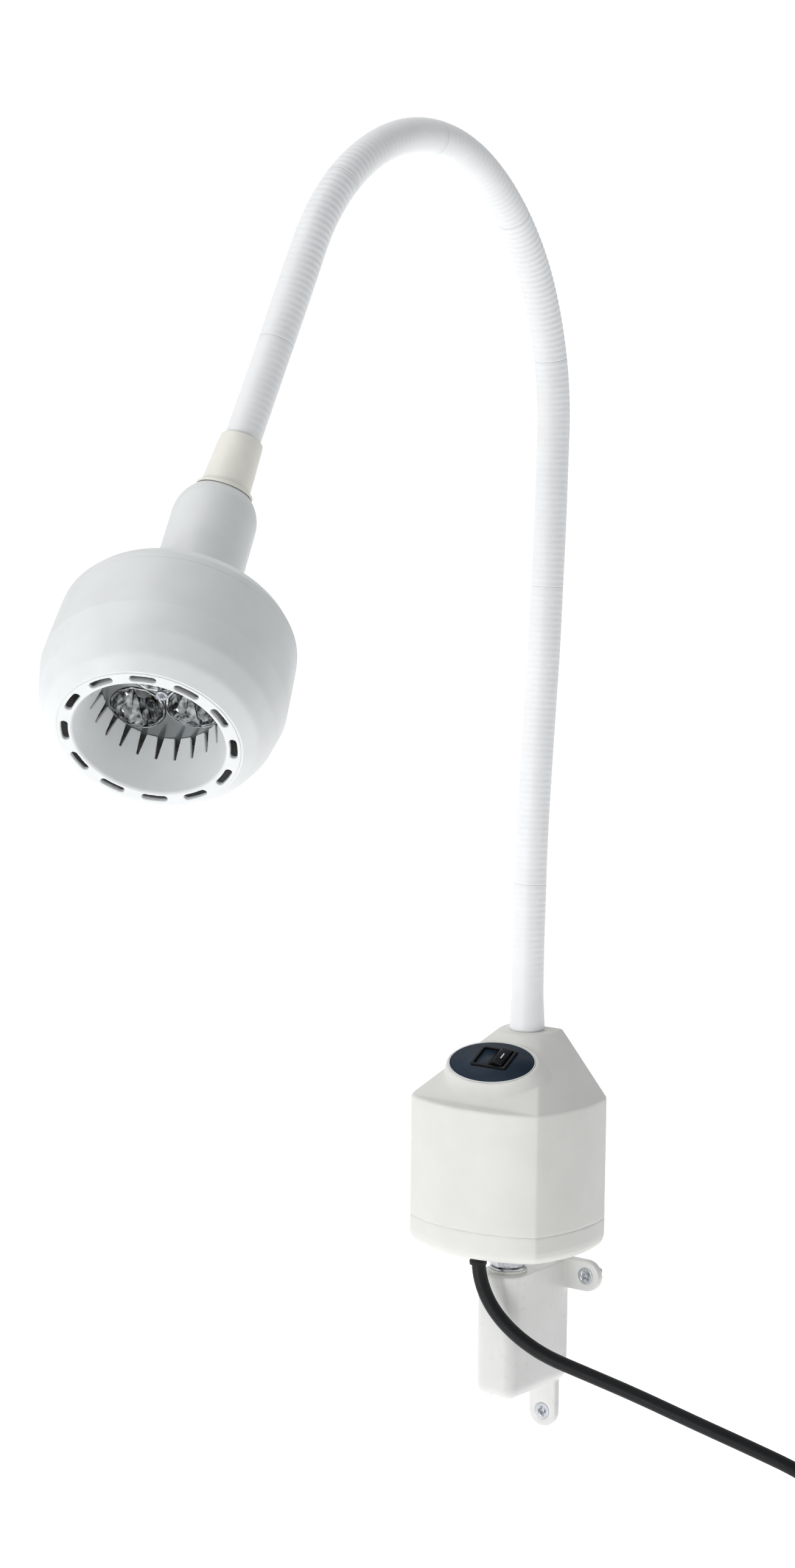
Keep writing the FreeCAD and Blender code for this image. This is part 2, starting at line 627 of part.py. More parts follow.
def build_gooseneck(stops):
    outer, inner = sheet.sleeve_radius, sheet.sleeve_inner
    core, hole = sheet.core_radius, sheet.core_inner
    last = len(SEGMENTS) - 1
    for k, (length, turn) in enumerate(SEGMENTS):
        start, end = stops[k], stops[k + 1]
        sleeve = bent_tube(start, length, turn, outer, inner)
        spring = bent_tube(start, length, turn, core, hole)
        if k < last:
            ball = Part.makeSphere(outer, end[0]).cut(Part.makeSphere(inner, end[0]))
            ahead = Part.makeCylinder(outer + 1, outer + 1, end[0], heading(end[1]))
            eye = Part.makeCylinder(hole, outer + 2, end[0], heading(end[1]))
            sleeve = sleeve.fuse(ball.common(ahead).cut(eye))
        else:
            ahead = heading(end[1])
            tip = Part.makeCylinder(outer, 4.0, end[0], ahead)
            sleeve = sleeve.fuse(tip.cut(Part.makeCylinder(inner, 4.0, end[0], ahead)))
            spring = spring.cut(Part.makeCylinder(outer + 1, 30, end[0] - ahead * 11.5, ahead))
        if k:
            cup = Part.makeSphere(outer + sheet.joint_gap, start[0])
            sleeve, spring = sleeve.cut(cup), spring.cut(cup)
        else:
            foot = Part.makeCylinder(outer + 1, 11.3, start[0], heading(start[1]))
            spring = spring.cut(foot)
            ahead = heading(start[1])
            foot_at = start[0] - ahead * 0.5
            flare = Part.makeCone(outer + 0.65, outer - 0.25, sheet.flare_height, foot_at, ahead)
            bore = Part.makeCylinder(inner, 2.0, start[0] - ahead * 2.0, ahead)
            bore = bore.fuse(bent_tube(start, length, turn, inner, 0))
            sleeve = sleeve.fuse(flare).cut(bore)
            sleeve = sleeve.cut(Part.makeBox(40, 80, 10, Vector(-20, -60, sheet.house_top - 10)))
        node("goose_sleeve_%d" % (k + 1), made("sleeve_%d" % (k + 1), sleeve))
        node("goose_core_%d" % (k + 1), made("core_%d" % (k + 1), spring))


# ---------------------------------------------------------------- ball joint and neck

def frame_on(spot, up, lean_towards):
    """A frame at spot whose Z is up and whose X leans towards the given direction."""
    x = (lean_towards - up * lean_towards.dot(up)).normalize()
    return Placement(spot, Rotation(x, up.cross(x), up, "ZXY"))


def build_ball_stud(frame):
    p_end = p.ball_below_end
    ball = sphere("ball", p.ball_radius)
    stem = cylinder("stem", p.stem_radius, p_end + 9, (0, 0, 0))
    disc = cylinder("stem_disc", 6.0, 2.0, (0, 0, p_end - 9))
    bore = cylinder("stud_bore", 2.0, 90, (0, 0, -20))
    node("ball_stud", cut("stud", fuse("stud_blank", ball, stem, disc), bore), frame)

    top = p_end - 0.3
    flange_low = 13.2
    outer = turned("boot", [(0, flange_low), (p.boot_flange_radius, flange_low),
                            (p.boot_flange_radius, flange_low + p.boot_flange),
                            (p.boot_low_radius + 0.4, flange_low + p.boot_flange + 0.8),
                            (p.boot_top_radius, top), (0, top)])
    seat = sphere("boot_seat", p.neck_radius + 0.35)
    hollow = cylinder("boot_hollow", 6.15, 27, (0, 0, 9))
    throat = cylinder("boot_throat", p.sleeve_radius + 0.3, 30, (0, 0, p_end - 5))
    node("boot", cut("boot_cut", outer, seat, hollow, throat), frame)

    ferrule = cylinder("ferrule_tube", 6.4, 15, (0, 0, p_end - 4))
    bore = cylinder("ferrule_bore", p.stem_radius + p.running_gap, 60, (0, 0, 10))
    node("end_ferrule", cut("ferrule", ferrule, bore), frame)


def slot_tool(name, radius, low, high, reach):
    """Space swept by a round stem of that radius leaning from low to high degrees."""
    turns = [Part.makeCylinder(radius, reach, Vector(), Vector(math.sin(a), 0, math.cos(a)))
             for a in (math.radians(low), math.radians(high))]
    wedge = Part.makeCylinder(reach, 2 * radius, Vector(0, -radius, 0), Vector(0, 1, 0), high - low)
    wedge.rotate(Vector(), Vector(0, 1, 0), low)
    return made(name, turns[0].fuse([turns[1], wedge]))


def build_neck(frame):
    """The frame's origin is the ball's centre, Z runs up the neck, X towards the leaning stem."""
    neck = p.neck_radius
    low = -p.neck_length
    tube = cylinder("neck_tube", neck, p.neck_length, (0, 0, low))
    skin = fuse("neck_blank", sphere("neck_dome", neck), tube)
    room = p.neck_radius - p.neck_wall
    bore = cylinder("neck_tube_room", room, 70, (0, 0, -70))
    hollow = fuse("neck_room", sphere("neck_dome_room", room), bore)
    half = sheet.neck_slot_width / 2
    slot = slot_tool("neck_slot", half, sheet.neck_slot_low, sheet.neck_slot_high, 30)
    node("neck", cut("neck_cut", skin, hollow, slot), frame)

    seat_radius = room - 0.1
    collar = cylinder("seat_tube", seat_radius, 4, (0, 0, -4))
    seat = fuse("seat_blank", sphere("seat_dome", seat_radius), collar)
    below = cylinder("seat_below", 40, 40, (0, 0, -44))
    cavity = sphere("seat_cavity", p.seat_inner)
    node("ball_seat", cut("seat", seat, below, cavity, slot), frame)
    cup = cylinder("cup_tube", seat_radius, 12, (0, 0, -16.2))
    way = cylinder("cup_way", 6.0, 60, (0, 0, -60))
    node("friction_cup", cut("cup", cup, cavity, way), frame)
    washer = cylinder("spring_disc", 14.5, 1.4, (0, 0, -17.8))
    hole = cylinder("spring_hole", 9.5, 20, (0, 0, -30))
    node("spring_washer", cut("spring_ring", washer, hole), frame)
    ring = cylinder("ring_nut_disc", seat_radius, 6, (0, 0, -24))
    hole = cylinder("ring_nut_hole", 10, 20, (0, 0, -30))
    node("neck_ring_nut", cut("ring_nut", ring, hole), frame)
    floor = cylinder("spigot_floor", seat_radius, 3, (0, 0, low))
    tube = cylinder("spigot_tube", p.spigot_radius, p.spigot_length, (0, 0, low - p.spigot_length))
    lip = cylinder("spigot_lip", p.spigot_radius + 2.0, 1.6, (0, 0, low - 5.0))
    way = cylinder("spigot_way", p.spigot_radius - 2, 60, (0, 0, -80))
    node("neck_spigot", cut("spigot", fuse("spigot_blank", floor, tube, lip), way), frame)


# ---------------------------------------------------------------- lamp head

def around(count, phase=0.0):
    return [phase + 360.0 * k / count for k in range(count)]


def turned_about_z(shape, degrees):
    copy = shape.copy()
    copy.rotate(Vector(), Vector(0, 0, 1), degrees)
    return copy


VENT_SLOTS = 12
CONE_NOTCHES = 22
CUP_ANGLES = around(3, 90)


def vent_slot():
    """One rounded slot along the ring, through its full thickness."""
    r, half = sheet.slot_circle, sheet.slot_width / 2
    sector = Part.makeCylinder(r + half, 12, Vector(0, 0, -4), Vector(0, 0, 1), sheet.slot_angle)
    sector = sector.cut(Part.makeCylinder(r - half, 12, Vector(0, 0, -4)))
    end = Part.makeCylinder(half, 12, Vector(r, 0, -4))
    ends = [turned_about_z(end, a) for a in (0, sheet.slot_angle)]
    return turned_about_z(sector.fuse(ends), -sheet.slot_angle / 2)


def cone_notch():
    """One pointed notch in the rear edge of the cone, its blunt tip towards the ring."""
    top, tip = sheet.cone_depth + 1, sheet.cone_depth - sheet.notch_depth
    wide, thin = sheet.notch_width / 2, 0.45
    corners = [(-wide, top), (wide, top), (thin, tip), (-thin, tip)]
    spots = [Vector(18, x, z) for x, z in corners]
    face = Part.Face(Part.makePolygon(spots + spots[:1]))
    return face.extrude(Vector(16, 0, 0))


def build_front_ring(frame):
    owner = turned("front_ring_turned", [
        (p.mouth_radius + 0.7, 0), (p.ring_radius, 0), (p.ring_radius, p.ring_thick),
        (p.mouth_radius + 1.8, p.ring_thick), (p.cone_radius + 1.6, p.cone_depth - 0.1),
        (p.cone_radius, p.cone_depth - 0.1), (p.mouth_radius, 0.8)])
    slot, notch = vent_slot(), cone_notch()
    slot_ring = [turned_about_z(slot, a) for a in around(VENT_SLOTS, 9)]
    notch_ring = [turned_about_z(notch, a) for a in around(CONE_NOTCHES)]
    slots = made("vent_slots", Part.makeCompound(slot_ring))
    notches = made("cone_notches", Part.makeCompound(notch_ring))
    node("front_ring", cut("front_ring_cut", owner, slots, notches), frame)


def build_head_shells(frame):
    wall = p.head_wall
    node("head_shell", turned("shell_turned", [
        (p.shell_lip_radius - 0.6, 0.4), (p.shell_lip_radius, 0.4),
        (p.shell_flare_radius, p.shell_flare_z), (p.shell_shoulder_radius, p.shell_shoulder_z),
        (p.shell_widest_radius, p.shell_widest_z), (p.shell_end_radius, p.shell_end),
        (p.shell_end_radius - wall, p.shell_end), (p.shell_widest_radius - wall, p.shell_widest_z),
        (p.shell_shoulder_radius - wall, p.shell_shoulder_z + 0.9),
        (p.shell_flare_radius - wall, p.shell_flare_z + 1.5), (p.shell_lip_radius - 0.6, 3.4)]), frame)
    inner = p.shell_end_radius - wall - 0.15
    lid = turned("cover_turned", [
        (inner, p.shell_end + 0.3), (p.shell_end_radius, p.shell_end + 0.3),
        (p.shell_end_radius - 0.6, p.shell_end + 3.5), (p.cover_round_radius, p.cover_round_z),
        (p.cover_top_radius, p.cover_top), (p.spigot_radius + 0.3, p.cover_top),
        (p.spigot_radius + 0.3, p.cover_top - 2.6), (p.cover_top_radius - 1, p.cover_top - 2.6),
        (p.cover_round_radius - 2.2, p.cover_round_z - 1.8), (inner - 1.8, p.shell_end + 2.4),
        (inner - 1.8, p.shell_end - 3), (inner, p.shell_end - 3)])
    sink_top = p.board_z + p.board_thick + p.sink_thick
    posts = []
    holes = []
    for k, angle in enumerate(around(3, 30)):
        x, y = (sheet.cover_posts * f(math.radians(angle)) for f in (math.cos, math.sin))
        posts.append(cylinder("cover_post_%d" % k, 3.2, 20, (x, y, sink_top)))
        holes.append(cylinder("post_hole_%d" % k, 1.3, 10, (x, y, sink_top - 0.5)))
    above = cone("cover_above", p.cover_round_radius - 1.4, p.cover_top_radius - 0.2,
                 p.cover_top - p.cover_round_z, (0, 0, p.cover_round_z - 1.2))
    rods = fuse("cover_rods", *posts)
    below = cylinder("cover_below", 60, p.cover_round_z - 1.2 - 20, (0, 0, 20))
    inside = doc.addObject("Part::MultiCommon", "cover_rods_inside")
    inside.Shapes = [rods, fuse("cover_room", above, below)]
    node("rear_cover", cut("cover_cut", fuse("cover_blank", lid, inside), *holes), frame)


def build_lamp_module(frame):
    z = p.holder_z
    plate = cylinder("holder_disc", p.holder_radius, p.holder_thick, (0, 0, z))
    mouths = []
    cups = []
    lenses = []
    chips = []
    for k, angle in enumerate(CUP_ANGLES):
        x, y = (sheet.cup_circle * f(math.radians(angle)) for f in (math.cos, math.sin))
        mouths.append(cylinder("mouth_%d" % k, p.cup_radius + 0.85, 9, (x, y, z - 1)))
        wall = 0.8
        shell = cone("cup_outer_%d" % k, p.cup_radius + wall, p.cup_low_radius + wall, p.cup_depth,
                     (x, y, z))
        room = cone("cup_inner_%d" % k, p.cup_radius, p.cup_low_radius, p.cup_depth, (x, y, z))
        cups.append(cut("cup_%d" % k, shell, room))
        lens = cone("lens_body_%d" % k, p.cup_radius - 1.3, p.cup_low_radius - 0.5, p.cup_depth - 2.4,
                    (x, y, z + 1.2))
        lenses.append(lens)
        chips.append(box("chip_%d" % k, 3.4, 3.4, 0.9, (x - 1.7, y - 1.7, p.board_z - 0.9)))
    screw_way = cylinder("holder_way", 1.6, 9, (0, 0, z - 1))
    node("lamp_holder", cut("holder", plate, screw_way, *mouths), frame)
    node("reflector_cups", group("cups", *cups), frame)
    node("lamp_lenses", group("lenses", *lenses), frame)
    node("led_chips", group("chips", *chips), frame)
    disc = cylinder("board_disc", p.board_radius, p.board_thick, (0, 0, p.board_z))
    way = cylinder("board_way", 1.6, 9, (0, 0, p.board_z - 1))
    node("led_board", cut("led_board_cut", disc, way), frame)

    sink_low = p.board_z + p.board_thick
    slab = cylinder("sink_slab", p.sink_radius, p.sink_thick, (0, 0, sink_low))
    fins = []
    for k in range(-3, 4):
        y = 5.6 * k
        half = math.sqrt(29.0 ** 2 - y ** 2)
        fins.append(centred_box("fin_%d" % (k + 3), 2 * half, p.fin_thick, p.fin_height, 0, y,
                                sink_low + p.sink_thick))
    ways = []
    for k, angle in enumerate(around(3, 30)):
        x, y = (sheet.cover_posts * f(math.radians(angle)) for f in (math.cos, math.sin))
        ways.append(cylinder("sink_way_%d" % k, 1.6, 20, (x, y, sink_low - 5)))
    ways.append(cylinder("sink_centre", 1.25, 4, (0, 0, sink_low - 0.5)))
    node("heat_sink", cut("sink", fuse("sink_blank", slab, *fins), *ways), frame)

    short = screw("module_screw", 1.2, 2.7, 1.4, 8)
    long = screw("lamp_screw_pattern", 1.2, 3.0, 1.6, 15.5)
    doc.recompute()
    down = Rotation(Vector(1, 0, 0), 180)
    places = []
    for angle in around(3, 30):
        x, y = (sheet.cover_posts * f(math.radians(angle)) for f in (math.cos, math.sin))
        places.append(Placement(Vector(x, y, sink_low.value - 2.0), down))
    node("module_screws", placed_copies("module_screw_set", short, places), frame)
    centre = Placement(Vector(0, 0, sheet.holder_z - 1.7), down)
    node("lamp_screw", placed_copies("lamp_screw_set", long, [centre]), frame)


# ---------------------------------------------------------------- mains lead

LEAD_ROUTE = [
    (-1.4, -60.0, 24.0), (-1.4, -60.0, 13.5), (0.9, -60.0, 4.3), (5.2, -59.6, -4.2),
    (11.9, -58.4, -12.4), (21.6, -56.2, -20.4), (34.2, -52.6, -27.6), (52.0, -47.4, -33.2),
    (78.0, -41.2, -40.8), (108.0, -34.4, -50.6), (136.0, -28.0, -59.6), (158.0, -22.4, -68.0),
    (172.0, -19.6, -79.0), (180.0, -19.0, -93.0), (183.0, -18.0, -109.0), (183.2, -17.5, -125.0)]
"""Route of the mains lead from its gland to the coil that hangs against the wall."""


def lead_tube(route, radius, name):
    """Straight runs joined by arcs of 0.45 of the shorter run, swept with the lead's section."""
    spots = [Vector(*point) for point in route]
    edges = []
    here = spots[0]
    radii = []
    for before, corner, after in zip(spots, spots[1:], spots[2:]):
        a, b = (before - corner), (after - corner)
        reach = 0.45 * min(a.Length, b.Length)
        turn = math.pi - a.getAngle(b)
        radii.append(reach / math.tan(turn / 2))
        a.normalize()
        b.normalize()
        start, end = corner + a * reach, corner + b * reach
        bisector = (a + b).normalize()
        half = (math.pi - turn) / 2
        centre_gap = radii[-1] / math.sin(half)
        middle = corner + bisector * (centre_gap - radii[-1])
        edges.append(Part.LineSegment(here, start).toShape())
        edges.append(Part.Arc(start, middle, end).toShape())
        here = end
    edges.append(Part.LineSegment(here, spots[-1]).toShape())
    path = Part.Wire(edges)
    direction = (spots[1] - spots[0]).normalize()
    section = Part.Wire(Part.Circle(spots[0], direction, radius).toShape())
    tube = path.makePipeShell([section], True, False, 2)
    expected = math.pi * radius ** 2 * path.Length
    print("%s: length %.1f, radii %s" % (name, path.Length, ["%.0f" % r for r in radii]))
    print("%s: volume %.1f, section times length %.1f" % (name, tube.Volume, expected))
    return tube


def build_lead():
    r = sheet.lead_radius
    centre = Vector(sheet.coil_x, sheet.coil_y, sheet.coil_z)
    torus = Part.makeTorus(sheet.coil_radius, sheet.coil_bundle, centre, Vector(0, 1, 0))
    node("mains_cord_coil", made("coil", torus))
    run = made("cord_run", lead_tube(LEAD_ROUTE, r, "lead").cut(torus))

    x, y, z = centre.x - sheet.coil_radius, centre.y, centre.z
    plug_top = z - 46
    tail_route = [(x, y, z), (x + 0.4, y, z - 16), (x + 0.4, y, z - 32), (x, y, plug_top)]
    tail = lead_tube(tail_route, r, "tail")
    node("mains_cord", group("cord", run, made("cord_tail", tail.cut(torus))))

    along = Vector(1, 0, 0)
    band_start = Vector(centre.x - 3.5, y, z + sheet.coil_radius)
    band = Part.makeCylinder(sheet.coil_bundle + 1.0, 7, band_start, along).cut(torus)
    inner = Part.makeCylinder(sheet.coil_bundle - 0.6, 9, band_start - along, along)
    node("coil_tie", made("tie", band.cut(inner)))

    low = plug_top - sheet.plug_length
    grip = cone("plug_grip", p.plug_thick / 2, 4.4, 10, (x, y, plug_top - 10))
    width, thick = p.plug_width, p.plug_thick
    slab = centred_box("plug_slab", width, thick, p.plug_length - 10, x, y, low)
    edges = [k + 1 for k, e in enumerate(doc_edges(slab)) if abs(e.tangentAt(e.FirstParameter).z) > 0.9]
    rounded = doc.addObject("Part::Fillet", "plug_rounded")
    rounded.Base = slab
    rounded.Edges = [(k, 6.0, 6.0) for k in edges]
    node("mains_plug", fuse("plug", grip, rounded))
    pins = [cylinder("plug_pin_%d" % k, 2.0, 19, (x + side * 9.3, y, low - 19))
            for k, side in enumerate((-1, 1))]
    node("plug_pins", group("pins", *pins))

    sleeve = cone("gland_nose", 4.3, 4.9, 4.0, (GLAND[0], GLAND[1], p.house_bottom - 4))
    stem = cylinder("gland_stem", GLAND_RADIUS, 3.4, (GLAND[0], GLAND[1], p.house_bottom))
    flange = cone("gland_inside", 7.0, 4.6, 15, (GLAND[0], GLAND[1], p.house_bottom + 3))
    way = cylinder("gland_way", p.lead_radius, 40, (GLAND[0], GLAND[1], 0))
    node("lead_gland", cut("gland", fuse("gland_blank", sleeve, stem, flange), way))


def doc_edges(obj):
    doc.recompute()
    return obj.Shape.Edges


# ---------------------------------------------------------------- assembly

def main():
    stops = gooseneck_path()
    end, lean = stops[-1]
    ball_centre = end + heading(lean) * sheet.ball_below_end
    beam = Vector(0.316, -0.708, -0.632).normalize()
    neck_up = beam * -1
    stem_up = heading(lean) * -1
    stud_frame = frame_on(ball_centre, stem_up, neck_up)
    neck_frame = frame_on(ball_centre, neck_up, stem_up)
    head_frame = frame_on(ball_centre + beam * sheet.head_reach, neck_up, stem_up)

    build_bracket()
    build_pivot()
    build_housing_base()
    build_housing_shell()
    build_switch()
    build_electrics()
    build_nipple()
    build_gooseneck(stops)
    build_ball_stud(stud_frame)
    build_neck(neck_frame)
    build_front_ring(head_frame)
    build_head_shells(head_frame)
    build_lamp_module(head_frame)
    build_lead()
    doc.recompute()

    check_and_write()


def check_and_write():
    for obj in doc.Objects:
        if "Invalid" in obj.State or "Error" in obj.State:
            raise SystemExit("%s (%s) failed: %s" % (obj.Name, obj.Label, obj.State))
    for name, obj in NODES.items():
        shape = obj.Shape
        if shape.isNull() or not shape.isValid() or not shape.Solids:
            raise SystemExit("%s has no valid solid" % name)
    os.makedirs("parts", exist_ok=True)
    for old in os.listdir("parts"):
        os.remove(os.path.join("parts", old))
    for name, obj in NODES.items():
        obj.Shape.exportStep("parts/%s.step" % name)
        print("%-20s solids %2d volume %9.1f" % (name, len(obj.Shape.Solids), obj.Shape.Volume))
    print(len(NODES), "nodes")


main()
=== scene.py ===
"""Examination lamp: the visible pieces, materials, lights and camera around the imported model."""

import json
import math

import bmesh
import bpy
from mathutils import Matrix, Vector


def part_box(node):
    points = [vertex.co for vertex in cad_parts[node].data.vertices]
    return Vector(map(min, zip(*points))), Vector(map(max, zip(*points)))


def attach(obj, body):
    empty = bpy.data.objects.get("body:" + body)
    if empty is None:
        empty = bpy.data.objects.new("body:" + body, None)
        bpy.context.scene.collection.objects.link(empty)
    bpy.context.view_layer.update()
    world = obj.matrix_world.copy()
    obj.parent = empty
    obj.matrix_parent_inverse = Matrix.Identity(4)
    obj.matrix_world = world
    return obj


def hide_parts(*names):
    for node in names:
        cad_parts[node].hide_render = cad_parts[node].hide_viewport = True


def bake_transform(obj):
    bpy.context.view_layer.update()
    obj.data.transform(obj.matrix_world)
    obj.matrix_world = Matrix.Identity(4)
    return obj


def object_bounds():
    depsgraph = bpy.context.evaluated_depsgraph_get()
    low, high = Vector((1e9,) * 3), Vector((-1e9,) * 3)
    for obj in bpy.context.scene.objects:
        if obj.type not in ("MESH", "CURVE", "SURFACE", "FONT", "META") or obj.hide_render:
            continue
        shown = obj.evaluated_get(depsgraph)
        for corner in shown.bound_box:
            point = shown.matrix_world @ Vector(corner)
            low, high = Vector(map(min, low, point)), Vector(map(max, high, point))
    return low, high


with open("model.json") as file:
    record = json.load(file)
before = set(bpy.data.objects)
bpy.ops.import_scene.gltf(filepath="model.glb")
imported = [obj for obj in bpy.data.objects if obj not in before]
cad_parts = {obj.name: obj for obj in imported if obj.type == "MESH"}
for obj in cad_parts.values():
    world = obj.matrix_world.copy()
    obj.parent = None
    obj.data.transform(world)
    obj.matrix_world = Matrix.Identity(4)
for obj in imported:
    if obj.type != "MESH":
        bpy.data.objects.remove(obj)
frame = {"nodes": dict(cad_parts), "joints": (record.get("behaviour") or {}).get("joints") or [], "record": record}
CAD_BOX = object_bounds()
MM = 0.001
JOINTS = {joint["name"]: joint for joint in frame["joints"]}
SLOT_OF = {part["node"]: part["material_slot"] for part in frame["record"]["subparts"]}


# ---------------------------------------------------------------- frames of the parts

def unit(v):
    return Vector(v).normalized()


def axes_matrix(origin, x, y, z):
    m = Matrix.Identity(4)
    for column, v in enumerate((x, y, z, origin)):
        for row in range(3):
            m[row][column] = v[row]
    return m


BALL = Vector(JOINTS["head_tilt"]["pos_m"])
NECK_UP = unit(JOINTS["head_turn"]["axis"])
STEM_UP = -unit(JOINTS["ball_swivel"]["axis"])
RING_CENTRE = Vector(JOINTS["head_turn"]["pos_m"])


def leaning_frame(origin, up, towards):
    """Z runs up, and X leans towards the second direction."""
    x = (towards - up * towards.dot(up)).normalized()
    return axes_matrix(origin, x, up.cross(x), up)


STUD_FRAME = leaning_frame(BALL, STEM_UP, NECK_UP)
HEAD_FRAME = leaning_frame(RING_CENTRE, NECK_UP, STEM_UP)
PLATE_CENTRE = Vector((0, -52.7, 113.4)) * MM
PLATE_SLOPE = math.radians(30.4)
PLATE_FRAME = Matrix.Translation(PLATE_CENTRE) @ Matrix.Rotation(PLATE_SLOPE, 4, "X")
PIVOT_FRAME = Matrix.Translation(Vector((0, -36.0, 0)) * MM)
LEAD_EXIT_FRAME = Matrix.Translation(Vector((-1.4, -60.0, 0)) * MM)


# ---------------------------------------------------------------- camera and lights

# azimuth, elevation and roll in degrees
CAMERA_ANGLES = (36.0, 8.0, 0.6)
CAMERA_AIM = Vector((-0.0623, -0.0472, 0.2434))
CAMERA_DISTANCE = 1.734
CAMERA_LENS = 81.06


def add_camera():
    azimuth, elevation, roll = (math.radians(a) for a in CAMERA_ANGLES)
    back = Vector((math.sin(azimuth) * math.cos(elevation),
                   -math.cos(azimuth) * math.cos(elevation), math.sin(elevation)))
    level = Vector((math.cos(azimuth), math.sin(azimuth), 0))
    above = back.cross(level)
    right = level * math.cos(roll) + above * math.sin(roll)
    up = back.cross(right)
    camera = bpy.data.objects.new("camera", bpy.data.cameras.new("camera"))
    camera.data.sensor_fit = "VERTICAL"
    camera.data.sensor_height = 36.0
    camera.data.lens = CAMERA_LENS
    camera.data.clip_start = 0.05
    camera.data.clip_end = 50.0
    spot = CAMERA_AIM + back * CAMERA_DISTANCE
    camera.matrix_world = axes_matrix(spot, right, up, back)
    bpy.context.scene.collection.objects.link(camera)
    bpy.context.scene.camera = camera


LIGHTS_AIM = Vector((0.0, -0.15, 0.3))


def area_light(name, spot, size, power, tint=(1, 1, 1)):
    data = bpy.data.lights.new(name, "AREA")
    data.shape = "SQUARE"
    data.size = size
    data.energy = power
    data.color = tint
    light = bpy.data.objects.new(name, data)
    bpy.context.scene.collection.objects.link(light)
    light.location = spot
    light.rotation_euler = (LIGHTS_AIM - Vector(spot)).to_track_quat("-Z", "Y").to_euler()


def add_lights():
    """Three soft lights and a sky that is brighter on the lamp's lit side."""
    area_light("key", (-1.5, -1.6, 1.5), 0.9, 3.6, (1.0, 0.995, 0.98))
    area_light("top", (-0.7, -1.0, 2.4), 1.2, 12)
    area_light("front", (-0.25, -2.1, -0.15), 0.7, 15, (0.98, 0.99, 1.0))
    world = bpy.data.worlds.new("studio")
    world.use_nodes = True
    tree = world.node_tree
    direction = tree.nodes.new("ShaderNodeTexCoord").outputs["Generated"]
    towards_light = along(tree, direction, (-0.86, 0.40, 0.30))
    sky = ramp(tree, towards_light, (0.22, 0.235, 0.25), (0.80, 0.80, 0.80), (-0.3, 0.6))
    tree.links.new(sky, tree.nodes["Background"].inputs["Color"])
    tree.nodes["Background"].inputs["Strength"].default_value = 1.0
    bpy.context.scene.world = world
    bpy.context.scene.view_settings.view_transform = "Standard"
    bpy.context.scene.view_settings.exposure = 0.08


# ---------------------------------------------------------------- materials

def blank_material(name):
    m = bpy.data.materials.new(name)
    m.use_nodes = True
    tree = m.node_tree
    shader = tree.nodes["Principled BSDF"]
    where = tree.nodes.new("ShaderNodeTexCoord").outputs["Object"]
    return m, tree, shader, where


def noise(tree, where, scale, detail, rough=0.55):
    node = tree.nodes.new("ShaderNodeTexNoise")
    node.inputs["Scale"].default_value = scale
    node.inputs["Detail"].default_value = detail
    node.inputs["Roughness"].default_value = rough
    tree.links.new(where, node.inputs["Vector"])
    return node.outputs["Fac"]


def along(tree, where, direction):
    """How far a place lies along a direction."""
    node = tree.nodes.new("ShaderNodeVectorMath")
    node.operation = "DOT_PRODUCT"
    node.inputs[1].default_value = direction
    tree.links.new(where, node.inputs[0])
    return node.outputs["Value"]


def ramp(tree, source, low, high, at=(0.35, 0.65)):
    node = tree.nodes.new("ShaderNodeValToRGB")
    node.color_ramp.elements[0].position = at[0]
    node.color_ramp.elements[1].position = at[1]
    node.color_ramp.elements[0].color = (*low, 1)
    node.color_ramp.elements[1].color = (*high, 1)
    tree.links.new(source, node.inputs["Fac"])
    return node.outputs["Color"]


def spread(tree, source, low, high, start=0.3, end=0.7):
    """The source's values from start to end, spread over low to high."""
    node = tree.nodes.new("ShaderNodeMapRange")
    node.inputs["To Min"].default_value = low
    node.inputs["To Max"].default_value = high
    node.inputs["From Min"].default_value = start
    node.inputs["From Max"].default_value = end
    tree.links.new(source, node.inputs["Value"])
    return node.outputs["Result"]


def bump(tree, source, distance):
    node = tree.nodes.new("ShaderNodeBump")
    node.inputs["Strength"].default_value = 1.0
    node.inputs["Distance"].default_value = distance
    tree.links.new(source, node.inputs["Height"])
    return node.outputs["Normal"]


def material(name, color, shade, rough, grain, depth, broad=60, metal=0.0, coat=0.0,
             specular=0.5, sheen=0.0, subsurface=0.0):
    """A moulded, painted or metal surface: slow colour change, uneven gloss and a fine grain."""
    m, tree, shader, where = blank_material(name)
    slow = noise(tree, where, broad, 2.0)
    fine = noise(tree, where, grain, 3.0, 0.6)
    gloss = noise(tree, where, broad * 4, 3.0)
    darker = [c * shade for c in color]
    tree.links.new(ramp(tree, slow, darker, color), shader.inputs["Base Color"])
    tree.links.new(spread(tree, gloss, *rough), shader.inputs["Roughness"])
    tree.links.new(bump(tree, fine, depth), shader.inputs["Normal"])
    shader.inputs["Metallic"].default_value = metal
    shader.inputs["Coat Weight"].default_value = coat
    shader.inputs["Coat Roughness"].default_value = 0.2
    shader.inputs["Specular IOR Level"].default_value = specular
    shader.inputs["Sheen Weight"].default_value = sheen
    if subsurface:
        shader.inputs["Subsurface Weight"].default_value = subsurface
        shader.inputs["Subsurface Radius"].default_value = (0.004, 0.0035, 0.003)
        shader.inputs["Subsurface Scale"].default_value = 1.0
    return m


def glass_material(name):
    m, tree, shader, where = blank_material(name)
    fine = noise(tree, where, 300, 2.0)
    tint = ramp(tree, fine, (0.90, 0.93, 0.94), (0.97, 0.98, 0.98))
    tree.links.new(tint, shader.inputs["Base Color"])
    tree.links.new(spread(tree, fine, 0.02, 0.06), shader.inputs["Roughness"])
    shader.inputs["Transmission Weight"].default_value = 0.95
    shader.inputs["IOR"].default_value = 1.49
    return m


FINE_GRAIN = 0.00001
LIGHT_GRAIN = 0.00002

